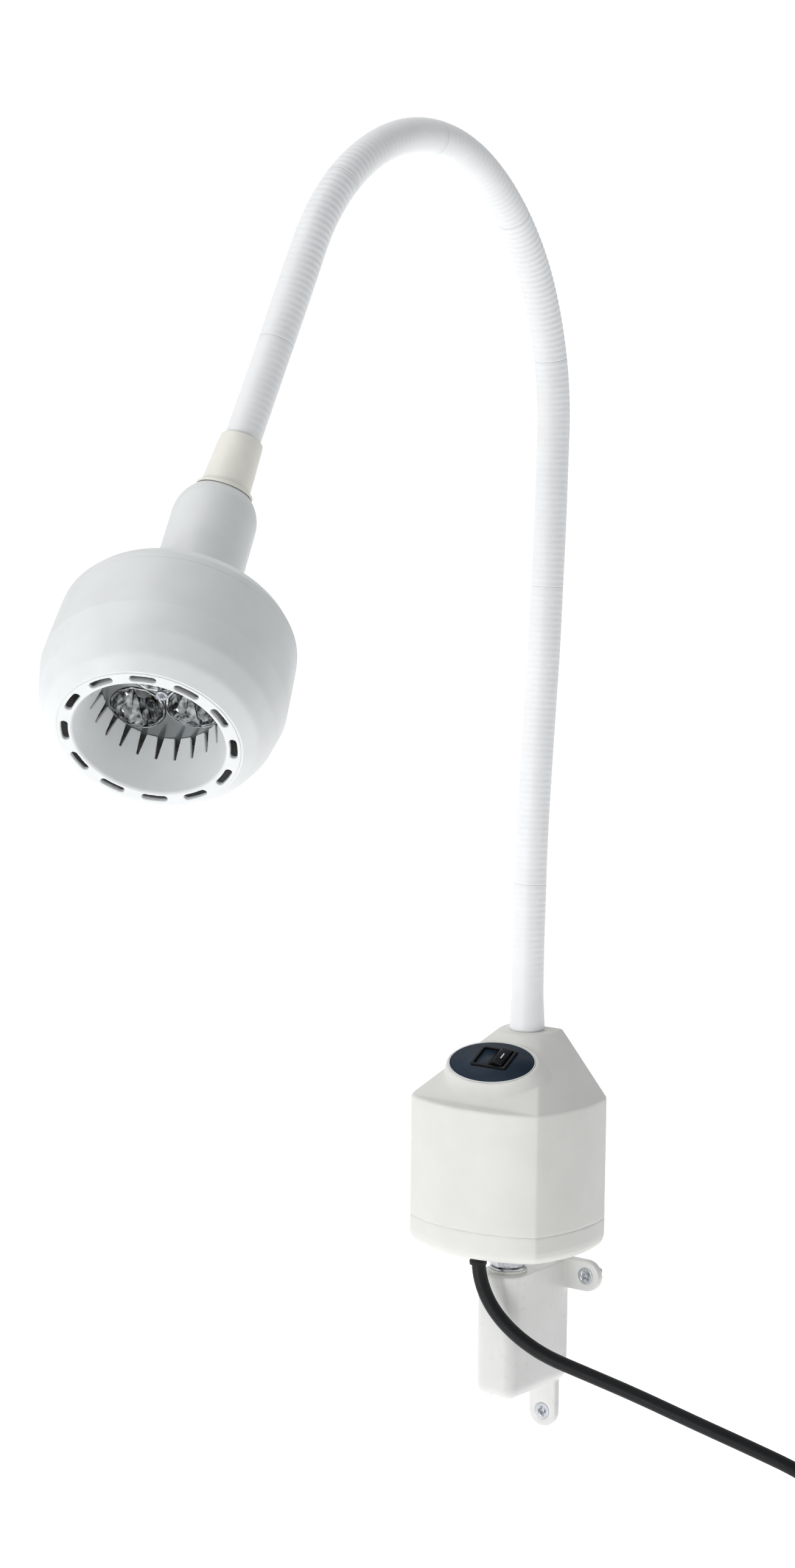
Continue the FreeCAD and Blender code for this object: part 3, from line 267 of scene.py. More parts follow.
SLOTS = {slot: material(slot, *look, **extra) for slot, look, extra in (
    ("bracket_white", ((0.745, 0.74, 0.72), 0.95, (0.26, 0.36), 900, 0.000012),
     {"coat": 0.15}),
    ("zinc_screws", ((0.56, 0.58, 0.61), 0.82, (0.24, 0.40), 2600, 0.000012),
     {"broad": 300, "metal": 1.0}),
    ("bearing_bush", ((0.76, 0.75, 0.71), 0.94, (0.38, 0.5), 1200, FINE_GRAIN), {}),
    ("steel_hardware", ((0.60, 0.61, 0.63), 0.80, (0.22, 0.38), 2200, FINE_GRAIN),
     {"broad": 240, "metal": 1.0}),
    ("housing_white", ((0.745, 0.735, 0.70), 0.965, (0.42, 0.54), 1500, 0.00004),
     {"subsurface": 0.05}),
    ("switch_plate_blue", ((0.018, 0.031, 0.050), 0.86, (0.36, 0.46), 2400, 0.000008),
     {"specular": 0.16}),
    ("switch_black", ((0.004, 0.0045, 0.006), 0.75, (0.24, 0.34), 1600, 0.000008),
     {"specular": 0.22}),
    ("brass_contacts", ((0.72, 0.60, 0.34), 0.85, (0.22, 0.36), 1800, FINE_GRAIN),
     {"broad": 200, "metal": 1.0}),
    ("circuit_green", ((0.035, 0.16, 0.07), 0.6, (0.30, 0.42), 700, LIGHT_GRAIN),
     {"broad": 260}),
    ("driver_potting", ((0.035, 0.035, 0.04), 0.8, (0.45, 0.6), 900, 0.00003), {}),
    ("terminal_grey", ((0.36, 0.38, 0.39), 0.92, (0.45, 0.6), 1200, LIGHT_GRAIN), {}),
    ("sleeve_white", ((0.92, 0.92, 0.92), 0.97, (0.38, 0.5), 700, 0.00003),
     {"sheen": 0.15, "subsurface": 0.12}),
    ("lead_black", ((0.0075, 0.008, 0.009), 0.8, (0.42, 0.55), 1300, LIGHT_GRAIN),
     {"specular": 0.25}),
    ("boot_cream", ((0.90, 0.875, 0.79), 0.95, (0.42, 0.55), 1000, LIGHT_GRAIN),
     {"sheen": 0.2, "subsurface": 0.1}),
    ("seat_nylon", ((0.78, 0.77, 0.73), 0.95, (0.35, 0.5), 1000, FINE_GRAIN), {}),
    ("head_white", ((0.815, 0.825, 0.82), 0.965, (0.36, 0.47), 1500, 0.00003),
     {"subsurface": 0.04}),
    ("neck_metal", ((0.66, 0.67, 0.68), 0.85, (0.25, 0.4), 1500, LIGHT_GRAIN),
     {"broad": 200, "metal": 1.0}),
    ("holder_grey", ((0.30, 0.315, 0.32), 0.85, (0.12, 0.22), 700, 0.000015),
     {"metal": 0.75}),
    # the chrome's colour runs in small blotches from near black to bright metal: painted dark reflections between
    # bright patches, not the metal's own tone
    ("reflector_chrome", ((0.66, 0.67, 0.68), 0.12, (0.02, 0.05), 900, 0.000002),
     {"broad": 340, "metal": 1.0}),
    ("led_yellow", ((0.80, 0.62, 0.14), 0.9, (0.4, 0.55), 2000, FINE_GRAIN), {}),
    ("led_board_white", ((0.80, 0.80, 0.78), 0.95, (0.4, 0.5), 900, FINE_GRAIN), {}),
)}
SLOTS["lens_clear"] = glass_material("lens_clear")
MARK_WHITE = material("mark_white", (0.66, 0.72, 0.78), 0.93, (0.4, 0.5), 1500, FINE_GRAIN)
RIM_WHITE = material("rim_white", (0.70, 0.71, 0.71), 0.95, (0.35, 0.45), 1500, FINE_GRAIN)


# ---------------------------------------------------------------- mesh helpers

def add_object(name, mesh, body, slot, nodes=(), smooth=True, ride=True):
    obj = bpy.data.objects.new(name, mesh)
    bpy.context.scene.collection.objects.link(obj)
    mesh.materials.clear()
    mesh.materials.append(SLOTS[slot])
    mesh.polygons.foreach_set("use_smooth", [smooth] * len(mesh.polygons))
    if ride:
        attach(obj, body)
    if nodes:
        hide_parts(*nodes)
    return obj


def mesh_from(name, verts, faces, matrix=None):
    mesh = bpy.data.meshes.new(name)
    mesh.from_pydata([tuple(v) for v in verts], [], faces)
    if matrix:
        mesh.transform(matrix)
    mesh.validate()
    mesh.update()
    return mesh


def softened(name, node, body, voxel, passes):
    """The node's form with the soft edges of a moulding: remeshed evenly, then relaxed."""
    source = bpy.data.objects.new("soft_source", frame["nodes"][node].data.copy())
    bpy.context.scene.collection.objects.link(source)
    remesh = source.modifiers.new("remesh", "REMESH")
    remesh.mode = "VOXEL"
    remesh.voxel_size = voxel * MM
    relax = source.modifiers.new("relax", "SMOOTH")
    relax.factor = 0.5
    relax.iterations = passes
    bpy.context.view_layer.update()
    graph = bpy.context.evaluated_depsgraph_get()
    mesh = bpy.data.meshes.new_from_object(source.evaluated_get(graph))
    bpy.data.objects.remove(source)
    return add_object(name, mesh, body, SLOT_OF[node], [node])


def rounded(points, radius, steps=5):
    """A closed outline with rounded corners. A point may carry its own radius as third number."""
    spots = [(Vector((p[0], p[1])), p[2] if len(p) > 2 else radius) for p in points]
    out = []
    count = len(spots)
    for k, (corner, r) in enumerate(spots):
        a = spots[k - 1][0] - corner
        b = spots[(k + 1) % count][0] - corner
        angle = a.angle(b)
        if r <= 0 or angle > math.radians(178):
            out.append(corner)
            continue
        reach = min(r / math.tan(angle / 2), 0.48 * a.length, 0.48 * b.length)
        start, end = corner + a.normalized() * reach, corner + b.normalized() * reach
        for s in range(steps + 1):
            t = s / steps
            out.append(start * (1 - t) ** 2 + corner * 2 * t * (1 - t) + end * t * t)
    return out


def walls(rows, around, closed=False, flipped=False):
    """The faces between rows of `around` points each; a closed run comes back to its first row."""
    faces = []
    for row in range(rows if closed else rows - 1):
        a, b = row * around, (row + 1) % rows * around
        for k in range(around):
            n = (k + 1) % around
            face = (a + k, b + k, b + n, a + n)
            faces.append((a + k, a + n, b + n, b + k) if flipped else face)
    return faces


def facing_out(mesh, weld=0.0):
    """Weld points closer than `weld` metres and turn every face outwards."""
    bm = bmesh.new()
    bm.from_mesh(mesh)
    if weld:
        bmesh.ops.remove_doubles(bm, verts=bm.verts, dist=weld)
    bmesh.ops.recalc_face_normals(bm, faces=bm.faces)
    bm.to_mesh(mesh)
    bm.free()
    return mesh


def crisp(obj, angle=40):
    """Smooth shading with hard edges kept where two faces meet sharply."""
    bm = bmesh.new()
    bm.from_mesh(obj.data)
    for e in bm.edges:
        e.smooth = not (e.is_manifold and e.calc_face_angle(0) > math.radians(angle))
    bm.to_mesh(obj.data)
    bm.free()


def turned_mesh(name, profile, matrix, steps=160):
    """A closed profile of (radius, z) in mm, turned about Z."""
    verts = []
    for s in range(steps):
        a = 2 * math.pi * s / steps
        verts += [Vector((r * math.cos(a), r * math.sin(a), z)) * MM for r, z in profile]
    mesh = mesh_from(name, verts, walls(steps, len(profile), closed=True), matrix)
    return facing_out(mesh, 0.0000005)


def turned(name, profile, place, body, slot, nodes, radius, steps):
    mesh = turned_mesh(name, rounded(profile, radius), place, steps)
    return add_object(name, mesh, body, slot, nodes)


def prism_mesh(name, outline, low, high, matrix, edge):
    """An outline of (x, y) in mm, raised from low to high and with its rims rounded."""
    bm = bmesh.new()
    base = [bm.verts.new(Vector((x, y, low)) * MM) for x, y in outline]
    top = [bm.verts.new(Vector((x, y, high)) * MM) for x, y in outline]
    bm.faces.new(list(reversed(base)))
    bm.faces.new(top)
    count = len(outline)
    for k in range(count):
        n = (k + 1) % count
        bm.faces.new((base[k], base[n], top[n], top[k]))
    rims = [e for e in bm.edges
            if all(v in base for v in e.verts) or all(v in top for v in e.verts)]
    bmesh.ops.bevel(bm, geom=rims, offset=edge * MM, segments=3, profile=0.5, affect="EDGES")
    bmesh.ops.recalc_face_normals(bm, faces=bm.faces)
    mesh = bpy.data.meshes.new(name)
    bm.to_mesh(mesh)
    bm.free()
    mesh.transform(matrix)
    return mesh


def joined(name, meshes):
    bm = bmesh.new()
    for mesh in meshes:
        bm.from_mesh(mesh)
    out = bpy.data.meshes.new(name)
    bm.to_mesh(out)
    bm.free()
    return out


def round_box(half_x, half_y, radius, y=0.0, steps=6):
    corners = [(-half_x, y - half_y), (half_x, y - half_y), (half_x, y + half_y),
               (-half_x, y + half_y)]
    return [tuple(v) for v in rounded(corners, radius, steps)]


def oval(half_long, half_short, count=96):
    angles = [2 * math.pi * k / count for k in range(count)]
    return [(half_long * math.cos(a), half_short * math.sin(a)) for a in angles]


# ---------------------------------------------------------------- housing

SEAM_REACH = 0.003


def build_housing():
    """The two mouldings, their rounded rims brought together so the joint is only a hairline."""
    shell = softened("housing_shell_moulded", "housing_shell", "housing", 0.7, 5)
    tray = softened("housing_base_moulded", "housing_base", "housing", 0.7, 3)
    seam = Vector(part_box("housing_shell")[0]).z
    for obj, shift in ((shell, -0.0007), (tray, 0.0008)):
        for vertex in obj.data.vertices:
            away = abs(vertex.co.z - seam)
            if away < SEAM_REACH:
                vertex.co.z += shift * (1 - away / SEAM_REACH)


# ---------------------------------------------------------------- gooseneck

GOOSE_START = (Vector((0, -22.5, 125.0)), 1.0)
GOOSE_RUNS = [(145, -6.5), (145, 4.0), (75, 27.5), (75, 34.0), (75, 48.0), (75, 43.5), (94, -1.0)]
GOOSE_BODIES = ["housing", "goose_2", "goose_3", "goose_4", "goose_5", "goose_6", "goose_7"]
RING_PITCH = 2.9
PAST_END = 4.0
SLEEVE_RADIUS = 7.86
SLEEVE_BORE = 6.75
CORE_RADIUS = 6.25
CORE_BORE = 4.3
CORE_INSET = 11.6
FOOT = 17


def heading(lean):
    return Vector((0, -math.sin(math.radians(lean)), math.cos(math.radians(lean))))


def goose_stations(step):
    """Points about `step` mm apart, (distance, point, lean), and each stretch's start."""
    stations = []
    spot, lean = GOOSE_START
    travelled = 0.0
    starts = [0.0]
    for length, turn in GOOSE_RUNS:
        count = max(2, round(length / step))
        for k in range(count):
            t = k / count
            half = math.radians(turn * t) / 2
            chord = length * t * (math.sin(half) / half if half else 1.0)
            point = spot + heading(lean + turn * t / 2) * chord
            stations.append((travelled + length * t, point, lean + turn * t))
        half = math.radians(turn) / 2
        spot = spot + heading(lean + turn / 2) * length * math.sin(half) / half
        lean += turn
        travelled += length
        starts.append(travelled)
    stations.append((travelled, spot, lean))
    stations.append((travelled + PAST_END, spot + heading(lean) * PAST_END, lean))
    return stations, starts


STATIONS, GOOSE_STARTS = goose_stations(RING_PITCH / 6)


def sleeve_radius(d):
    """Soft rings all along, more marked where the gooseneck bends hard, and a flared foot."""
    bend = min(1.0, max(0.0, (d - 300) / 80)) * min(1.0, max(0.0, (640 - d) / 60))
    ring = math.sin(2 * math.pi * d / RING_PITCH)
    fade = min(1.0, max(0.0, (d - FOOT) / 8))
    waver = 0.05 * math.sin(d / 23.0) + 0.04 * math.sin(d / 9.7 + 1.0)
    if d >= FOOT:
        return SLEEVE_RADIUS + fade * ((0.055 + 0.07 * bend) * ring + waver)
    radius = SLEEVE_RADIUS + 0.85 * (1 - d / FOOT) ** 0.8
    if d < 1.2:
        radius -= 0.55 * (1 - d / 1.2) ** 2
    return radius


def tube_mesh(name, d0, d1, radius, inner, around=48):
    """A tube along the gooseneck from d0 to d1 with an outside that follows radius(d)."""
    here = [s for s in STATIONS if d0 - 1e-6 <= s[0] <= d1 + 1e-6]
    verts, faces = [], []
    for d, spot, lean in here:
        side = heading(lean + 90)
        for r in (radius(d), inner):
            for k in range(around):
                a = 2 * math.pi * k / around
                offset = Vector((math.cos(a), 0, 0)) + side * math.sin(a)
                verts.append((spot + offset * r) * MM)
    ring = around * 2
    for s in range(len(here) - 1):
        for k in range(around):
            n = (k + 1) % around
            a, b = s * ring, (s + 1) * ring
            faces.append((a + k, a + n, b + n, b + k))
            faces.append((a + around + n, a + around + k, b + around + k, b + around + n))
    last = (len(here) - 1) * ring
    for k in range(around):
        n = (k + 1) % around
        faces.append((k, around + k, around + n, n))
        faces.append((last + k, last + n, last + around + n, last + around + k))
    return facing_out(mesh_from(name, verts, faces))


def core_radius(d):
    return CORE_RADIUS + 0.25 * abs(math.sin(math.pi * d / 3.2))


def build_gooseneck():
    """Sleeve and core in lengths, each from the middle of one stretch to that of the next."""
    cuts = [0.0] + [(a + b) / 2 for a, b in zip(GOOSE_STARTS[:-1], GOOSE_STARTS[1:])]
    nearest = [min(STATIONS, key=lambda s: abs(s[0] - c))[0] for c in cuts]
    nearest.append(STATIONS[-1][0])
    core_end = GOOSE_STARTS[-1] - CORE_INSET
    for layer, slot, radius, inner, first, last in (
            ("sleeve", "sleeve_white", sleeve_radius, SLEEVE_BORE, 0.0, nearest[-1]),
            ("core", "steel_hardware", core_radius, CORE_BORE, CORE_INSET, core_end)):
        bounds = [max(first, min(last, d)) for d in nearest]
        for k in range(8):
            name = "gooseneck_%s_%d" % (layer, k)
            mesh = tube_mesh(name, bounds[k], bounds[k + 1], radius, inner)
            if k in (0, 7):
                end = min(k, 6)
                nodes = ["goose_%s_%d" % (layer, end + 1)]
                add_object(name, mesh, GOOSE_BODIES[end], slot, nodes)
                continue
            nodes = ["goose_%s_%d" % (layer, k + 1)] if k < 6 else []
            obj = add_object(name, mesh, None, slot, nodes, ride=False)
            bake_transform(obj)


# ---------------------------------------------------------------- mains lead

LEAD_DIAMETER = 0.007
LEAD_ROUTE = [
    (-1.4, -60.0, 24.0), (-1.4, -60.0, 13.5), (0.9, -60.0, 4.3), (5.2, -59.6, -4.2),
    (11.9, -58.4, -12.4), (21.6, -56.2, -20.4), (34.2, -52.6, -27.6), (52.0, -47.4, -33.2),
    (78.0, -41.2, -40.8), (108.0, -34.4, -50.6), (136.0, -27.6, -59.6), (158.0, -20.4, -68.0),
    (171.0, -13.6, -78.0), (177.0, -9.4, -92.0), (177.6, -7.9, -108.0)]
COIL_CENTRE = Vector((222.0, -14.5, -125.0))
COIL_RADIUS = 39.0
COIL_LAY = 9.3
COIL_TURNS = 7
COIL_POINTS = 16
CORNER_CUT = math.cos(math.pi / COIL_POINTS) ** 0.87
TAIL = [(173.9, -14.5, -141.0), (174.0, -14.5, -157.0), (173.7, -14.5, -172.0)]


def coil_points():
    """Turns lie round a ring an eighth of a circle apart, so none crosses another."""
    points = []
    for k in range(COIL_TURNS * COIL_POINTS + 1):
        turns = k / COIL_POINTS
        round_ring = math.pi + 2 * math.pi * turns
        across = math.radians(45 + 45 * turns)
        out = (COIL_RADIUS + COIL_LAY * math.cos(across)) / CORNER_CUT
        points.append(COIL_CENTRE + Vector((out * math.cos(round_ring),
                                            COIL_LAY * math.sin(across),
                                            out * math.sin(round_ring))))
    return points


def build_lead():
    points = [Vector(p) for p in LEAD_ROUTE] + coil_points() + [Vector(p) for p in TAIL]
    curve = bpy.data.curves.new("mains_lead", "CURVE")
    curve.dimensions = "3D"
    curve.bevel_depth = LEAD_DIAMETER / 2
    curve.bevel_resolution = 6
    curve.use_fill_caps = True
    spline = curve.splines.new("NURBS")
    spline.points.add(len(points) - 1)
    for target, point in zip(spline.points, points):
        target.co = (*(point * MM), 1)
    spline.order_u = 3
    spline.use_endpoint_u = True
    spline.resolution_u = 6
    lead = bpy.data.objects.new("mains_lead", curve)
    bpy.context.scene.collection.objects.link(lead)
    curve.materials.append(SLOTS["lead_black"])
    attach(lead, "housing")
    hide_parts("mains_cord", "mains_cord_coil")
    tie = build_coil_tie()
    plug, pins = build_plug()


def build_coil_tie():
    """A flat strap round the bundle at the coil's top."""
    centre = COIL_CENTRE + Vector((0, 0, COIL_RADIUS))
    turn = axes_matrix(centre * MM, Vector((0, 1, 0)), Vector((0, 0, 1)), Vector((1, 0, 0)))
    profile = [(12.9, -3.4), (13.8, -3.4), (13.8, 3.4), (12.9, 3.4)]
    band = turned_mesh("coil_tie", rounded(profile, 0.3), turn, 72)
    lock = prism_mesh("tie_lock", round_box(2.6, 3.0, 0.8), 13.2, 15.4,
                      Matrix.Translation(centre * MM), 0.5)
    return add_object("lead_tie", joined("coil_tie", [band, lock]), "housing", "lead_black",
                      ["coil_tie"])


PLUG_SECTIONS = [
    (0.0, 16.6, 6.2, 5.8), (0.8, 17.4, 6.9, 6.6), (8.0, 17.5, 7.0, 6.8), (18.0, 17.0, 7.0, 6.8),
    (22.0, 14.6, 6.8, 6.6), (25.0, 10.0, 6.2, 6.0), (27.5, 7.0, 5.6, 5.4), (29.0, 6.2, 5.6, 5.4),
    (29.4, 5.4, 5.0, 4.9), (30.6, 5.4, 5.0, 4.9), (31.0, 6.0, 5.5, 5.4), (32.4, 5.9, 5.4, 5.3),
    (32.8, 5.1, 4.8, 4.7), (34.0, 5.1, 4.8, 4.7), (34.4, 5.6, 5.2, 5.1), (35.8, 5.0, 4.8, 4.7),
    (36.0, 4.2, 4.1, 4.0)]
PIN_LENGTH = 19.0
PIN_RADIUS = 2.0
PIN_SPACING = 9.3


def build_plug():
    """A two-pin plug: sections of (height, half width, half thickness, corner), pins below."""
    low, high = (v * 1000 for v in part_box("mains_plug"))
    x, y = (low.x + high.x) / 2, (low.y + high.y) / 2
    at = Matrix.Translation(Vector((x, y, low.z)) * MM)
    verts = []
    for z, half_x, half_y, corner in PLUG_SECTIONS:
        outline = round_box(half_x, half_y, corner, steps=8)
        verts += [Vector((px, py, z)) * MM for px, py in outline]
    around = len(outline)
    rows = len(PLUG_SECTIONS)
    faces = walls(rows, around, flipped=True)
    faces.append(tuple(reversed(range(around))))
    faces.append(tuple((rows - 1) * around + k for k in range(around)))
    plug = add_object("plug_body", mesh_from("plug_body", verts, faces, at), "housing",
                      "lead_black", ["mains_plug"])
    metal = rounded([(0, 0), (PIN_RADIUS, 0, 1.2), (PIN_RADIUS, PIN_LENGTH, 0), (0, PIN_LENGTH)],
                    0.0, 6)
    meshes = []
    for side in (-1, 1):
        spot = Vector((x + side * PIN_SPACING, y, low.z - PIN_LENGTH)) * MM
        meshes.append(turned_mesh("pin", metal, Matrix.Translation(spot), 32))
    pins = add_object("plug_contacts", joined("plug_contacts", meshes), "housing",
                      "brass_contacts", ["plug_pins"])
    return plug, pins


def build_gland():
    profile = [(3.55, 14.2), (4.2, 14.2), (4.35, 16.0), (4.05, 16.4), (4.1, 17.2), (4.6, 17.6),
               (4.7, 18.6), (4.3, 19.0), (4.95, 19.6), (4.95, 23.3), (6.9, 23.4), (6.6, 27.0),
               (4.7, 37.6), (3.55, 37.6)]
    turned("lead_gland_boot", profile, LEAD_EXIT_FRAME, "housing", "lead_black", ["lead_gland"],
           0.25, 64)


# ---------------------------------------------------------------- switch

SWITCH_UP = 2.5
RIM_STEPS = 128


def build_switch():
    """The oval plate with its thin rim, the bezel round the opening, and the key."""
    plate = prism_mesh("switch_plate", oval(23.55, 13.95), -0.8, 0.28, PLATE_FRAME, 0.25)
    add_object("switch_face_plate", plate, "housing", "switch_plate_blue", ["switch_plate"])
    outer, inner = oval(24.05, 14.45, RIM_STEPS), oval(23.6, 14.0, RIM_STEPS)
    loops = ((outer, -0.5), (outer, 0.22), (inner, 0.22), (inner, -0.5))
    verts = [Vector((x, y, z)) * MM for loop, z in loops for x, y in loop]
    faces = walls(len(loops), RIM_STEPS, closed=True, flipped=True)
    rim = mesh_from("switch_plate_rim", verts, faces, PLATE_FRAME)
    rim_piece = add_object("switch_plate_rim", rim, "housing", "housing_white")
    rim_piece.data.materials[0] = RIM_WHITE
    build_bezel()
    build_rocker()


def build_bezel():
    low, high = -15.0, 1.4
    outside = round_box(10.5, 7.0, 1.6, SWITCH_UP)
    inside = round_box(8.55, 5.55, 0.7, SWITCH_UP)
    can = round_box(9.4, 6.4, 0.8, SWITCH_UP)
    loops = [(inside, -7.0), (inside, 0.7), (round_box(8.8, 5.8, 0.9, SWITCH_UP), high),
             (round_box(10.0, 6.5, 1.4, SWITCH_UP), high), (outside, high - 0.5), (outside, 0.3),
             (can, 0.25), (can, low)]
    around = len(inside)
    verts = [Vector((x, y, z)) * MM for loop, z in loops for x, y in loop]
    faces = walls(len(loops), around)
    faces.append(tuple(range(around)))
    faces.append(tuple(reversed([(len(loops) - 1) * around + k for k in range(around)])))
    bezel = facing_out(mesh_from("switch_bezel", verts, faces, PLATE_FRAME))
    crisp(add_object("switch_bezel", bezel, "housing", "switch_black", ["switch_body"]))


KEY_PIVOT = Vector((0, -1.2))
KEY_SWEEP = 8.4
KEY_HALF = 5.2
KEY_OUTLINE = [(8.2, 2.3, 0), (3.4, 3.8, 0.5), (-1.4, 0.3, 3.0), (-8.2, -0.2, 0), (-8.2, -3.3, 0),
               (-3, -4.6, 0), (3, -4.6, 0), (8.2, -2.4, 0)]
MARK_PROUD = 0.04
MARK_SUNK = (0, 0.15)


def build_rocker():
    """The key: a low face under the ring mark, then a steep rise to the crest of its lobe."""
    outline = []
    for spot in rounded(KEY_OUTLINE, 0, 6):
        away = spot - KEY_PIVOT
        outline.append(KEY_PIVOT + away * min(1.0, KEY_SWEEP / away.length))
    bm = bmesh.new()
    sides = [[bm.verts.new(Vector((x, y, z)) * MM) for x, z in outline]
             for y in (SWITCH_UP - KEY_HALF, SWITCH_UP + KEY_HALF)]
    bm.faces.new(sides[0])
    bm.faces.new(list(reversed(sides[1])))
    count = len(outline)
    for k in range(count):
        n = (k + 1) % count
        bm.faces.new((sides[0][k], sides[1][k], sides[1][n], sides[0][n]))
    bmesh.ops.recalc_face_normals(bm, faces=bm.faces)
    sharp = [e for e in bm.edges if e.is_manifold and e.calc_face_angle(0) > math.radians(35)]
    bmesh.ops.bevel(bm, geom=sharp, offset=0.4 * MM, segments=3, profile=0.5, affect="EDGES",
                    clamp_overlap=True)
    mesh = bpy.data.meshes.new("rocker")
    bm.to_mesh(mesh)
    bm.free()
    mesh.transform(PLATE_FRAME)
    crisp(add_object("rocker_key", mesh, "switch_key", "switch_black", ["rocker"]))
    build_marks()


def build_marks():
    """A ring printed on the key's low face and a bar on its raised lobe."""
    def low_face(x):
        return -0.2 + (x + 8.2) * 0.5 / 6.8 + MARK_PROUD

    def high_face(x):
        return 3.8 - (x - 3.4) * 1.5 / 4.8 + MARK_PROUD

    steps = 48
    verts = []
    for k in range(steps):
        a = 2 * math.pi * k / steps
        for r in (1.15, 1.7):
            x, y = -5.0 + r * math.cos(a), SWITCH_UP + 0.6 + 1.1 * r * math.sin(a)
            verts += [Vector((x, y, low_face(x) - drop)) * MM for drop in MARK_SUNK]
    faces = []
    for k in range(steps):
        a, b = 4 * k, 4 * ((k + 1) % steps)
        faces += [(a, a + 2, b + 2, b), (a + 2, a + 3, b + 3, b + 2), (a + 3, a + 1, b + 1, b + 3),
                  (a + 1, a, b, b + 1)]
    ring = mesh_from("mark_ring", verts, faces, PLATE_FRAME)
    near, far = SWITCH_UP - 1.7, SWITCH_UP + 1.7
    bar = [(5.4, near), (5.95, near), (5.95, far), (5.4, far)]
    verts = [Vector((x, y, high_face(x) - drop)) * MM for drop in MARK_SUNK for x, y in bar]
    faces = [(0, 1, 2, 3), (7, 6, 5, 4), (0, 4, 5, 1), (1, 5, 6, 2), (2, 6, 7, 3), (3, 7, 4, 0)]
    marks = joined("rocker_marks", [ring, mesh_from("mark_bar", verts, faces, PLATE_FRAME)])
    piece = add_object("rocker_marks", marks, "switch_key", "switch_black", smooth=False)
    piece.data.materials[0] = MARK_WHITE


# ---------------------------------------------------------------- pivot and screws

NUT_WIDTH = 16.0
NUT_BORE = 5.05


def build_pivot():
    pin = [(0, -42), (4.4, -42), (5.0, -41.4), (5.0, -40), (4.2, -40), (4.2, -39), (5.0, -39),
           (5.0, 14.6), (7.1, 14.6), (7.1, 20.0), (5.0, 20.0), (5.0, 32.6), (4.6, 33.0),
           (0, 33.0)]
    washer = [(5.05, 7.55), (9.0, 7.55), (9.0, 8.55), (5.05, 8.55)]
    bush = [(5.05, -45), (7.0, -45), (7.0, 6.0), (9.5, 6.0), (9.5, 7.5), (5.05, 7.5)]
    for name, profile, body, slot, node, radius in (
            ("pivot_pin_turned", pin, "housing", "steel_hardware", "pivot_pin", 0.12),
            ("pivot_washer_turned", washer, "housing", "steel_hardware", "pivot_washer", 0.18),
            ("pivot_bush_turned", bush, "bracket", "bearing_bush", "pivot_bush", 0.2)):
        turned(name, profile, PIVOT_FRAME, body, slot, [node], radius, 96)
    for name, node, low, high in (("pivot_nut_hex", "pivot_nut", 8.55, 14.55),
                                  ("pivot_lock_nut_hex", "pivot_lock_nut", 23.0, 29.0)):
        mesh = hex_nut_mesh(NUT_WIDTH, NUT_BORE, low, high, PIVOT_FRAME)
        crisp(add_object(name, mesh, "housing", "steel_hardware", [node]), 25)


def hex_nut_mesh(width, bore, low, high, at, per_side=8):
    """A hexagon nut with chamfered corners and a countersunk bore."""
    count = 6 * per_side
    flat, corner = width / 2, width / math.sqrt(3)
    rings = []
    for z, limit in ((low, flat * 0.97), (low + 0.9, corner), (high - 0.9, corner),
                     (high, flat * 0.97)):
        loop = []
        for k in range(count):
            a = 2 * math.pi * k / count
            reach = flat / math.cos((a % (math.pi / 3)) - math.pi / 6)
            r = min(reach, limit) if limit < corner else reach
            loop.append(Vector((r * math.cos(a + math.pi / 6), r * math.sin(a + math.pi / 6), z)))
        rings.append(loop)
    angles = [2 * math.pi * k / count + math.pi / 6 for k in range(count)]
    for z, r in ((high, bore + 0.7), (high - 0.7, bore), (low + 0.7, bore), (low, bore + 0.7)):
        rings.append([Vector((r * math.cos(a), r * math.sin(a), z)) for a in angles])
    verts = [v * MM for loop in rings for v in loop]
    faces = walls(len(rings), count, closed=True, flipped=True)
    return mesh_from("hex_nut", verts, faces, at)


RECESS_DEPTH = 1.7


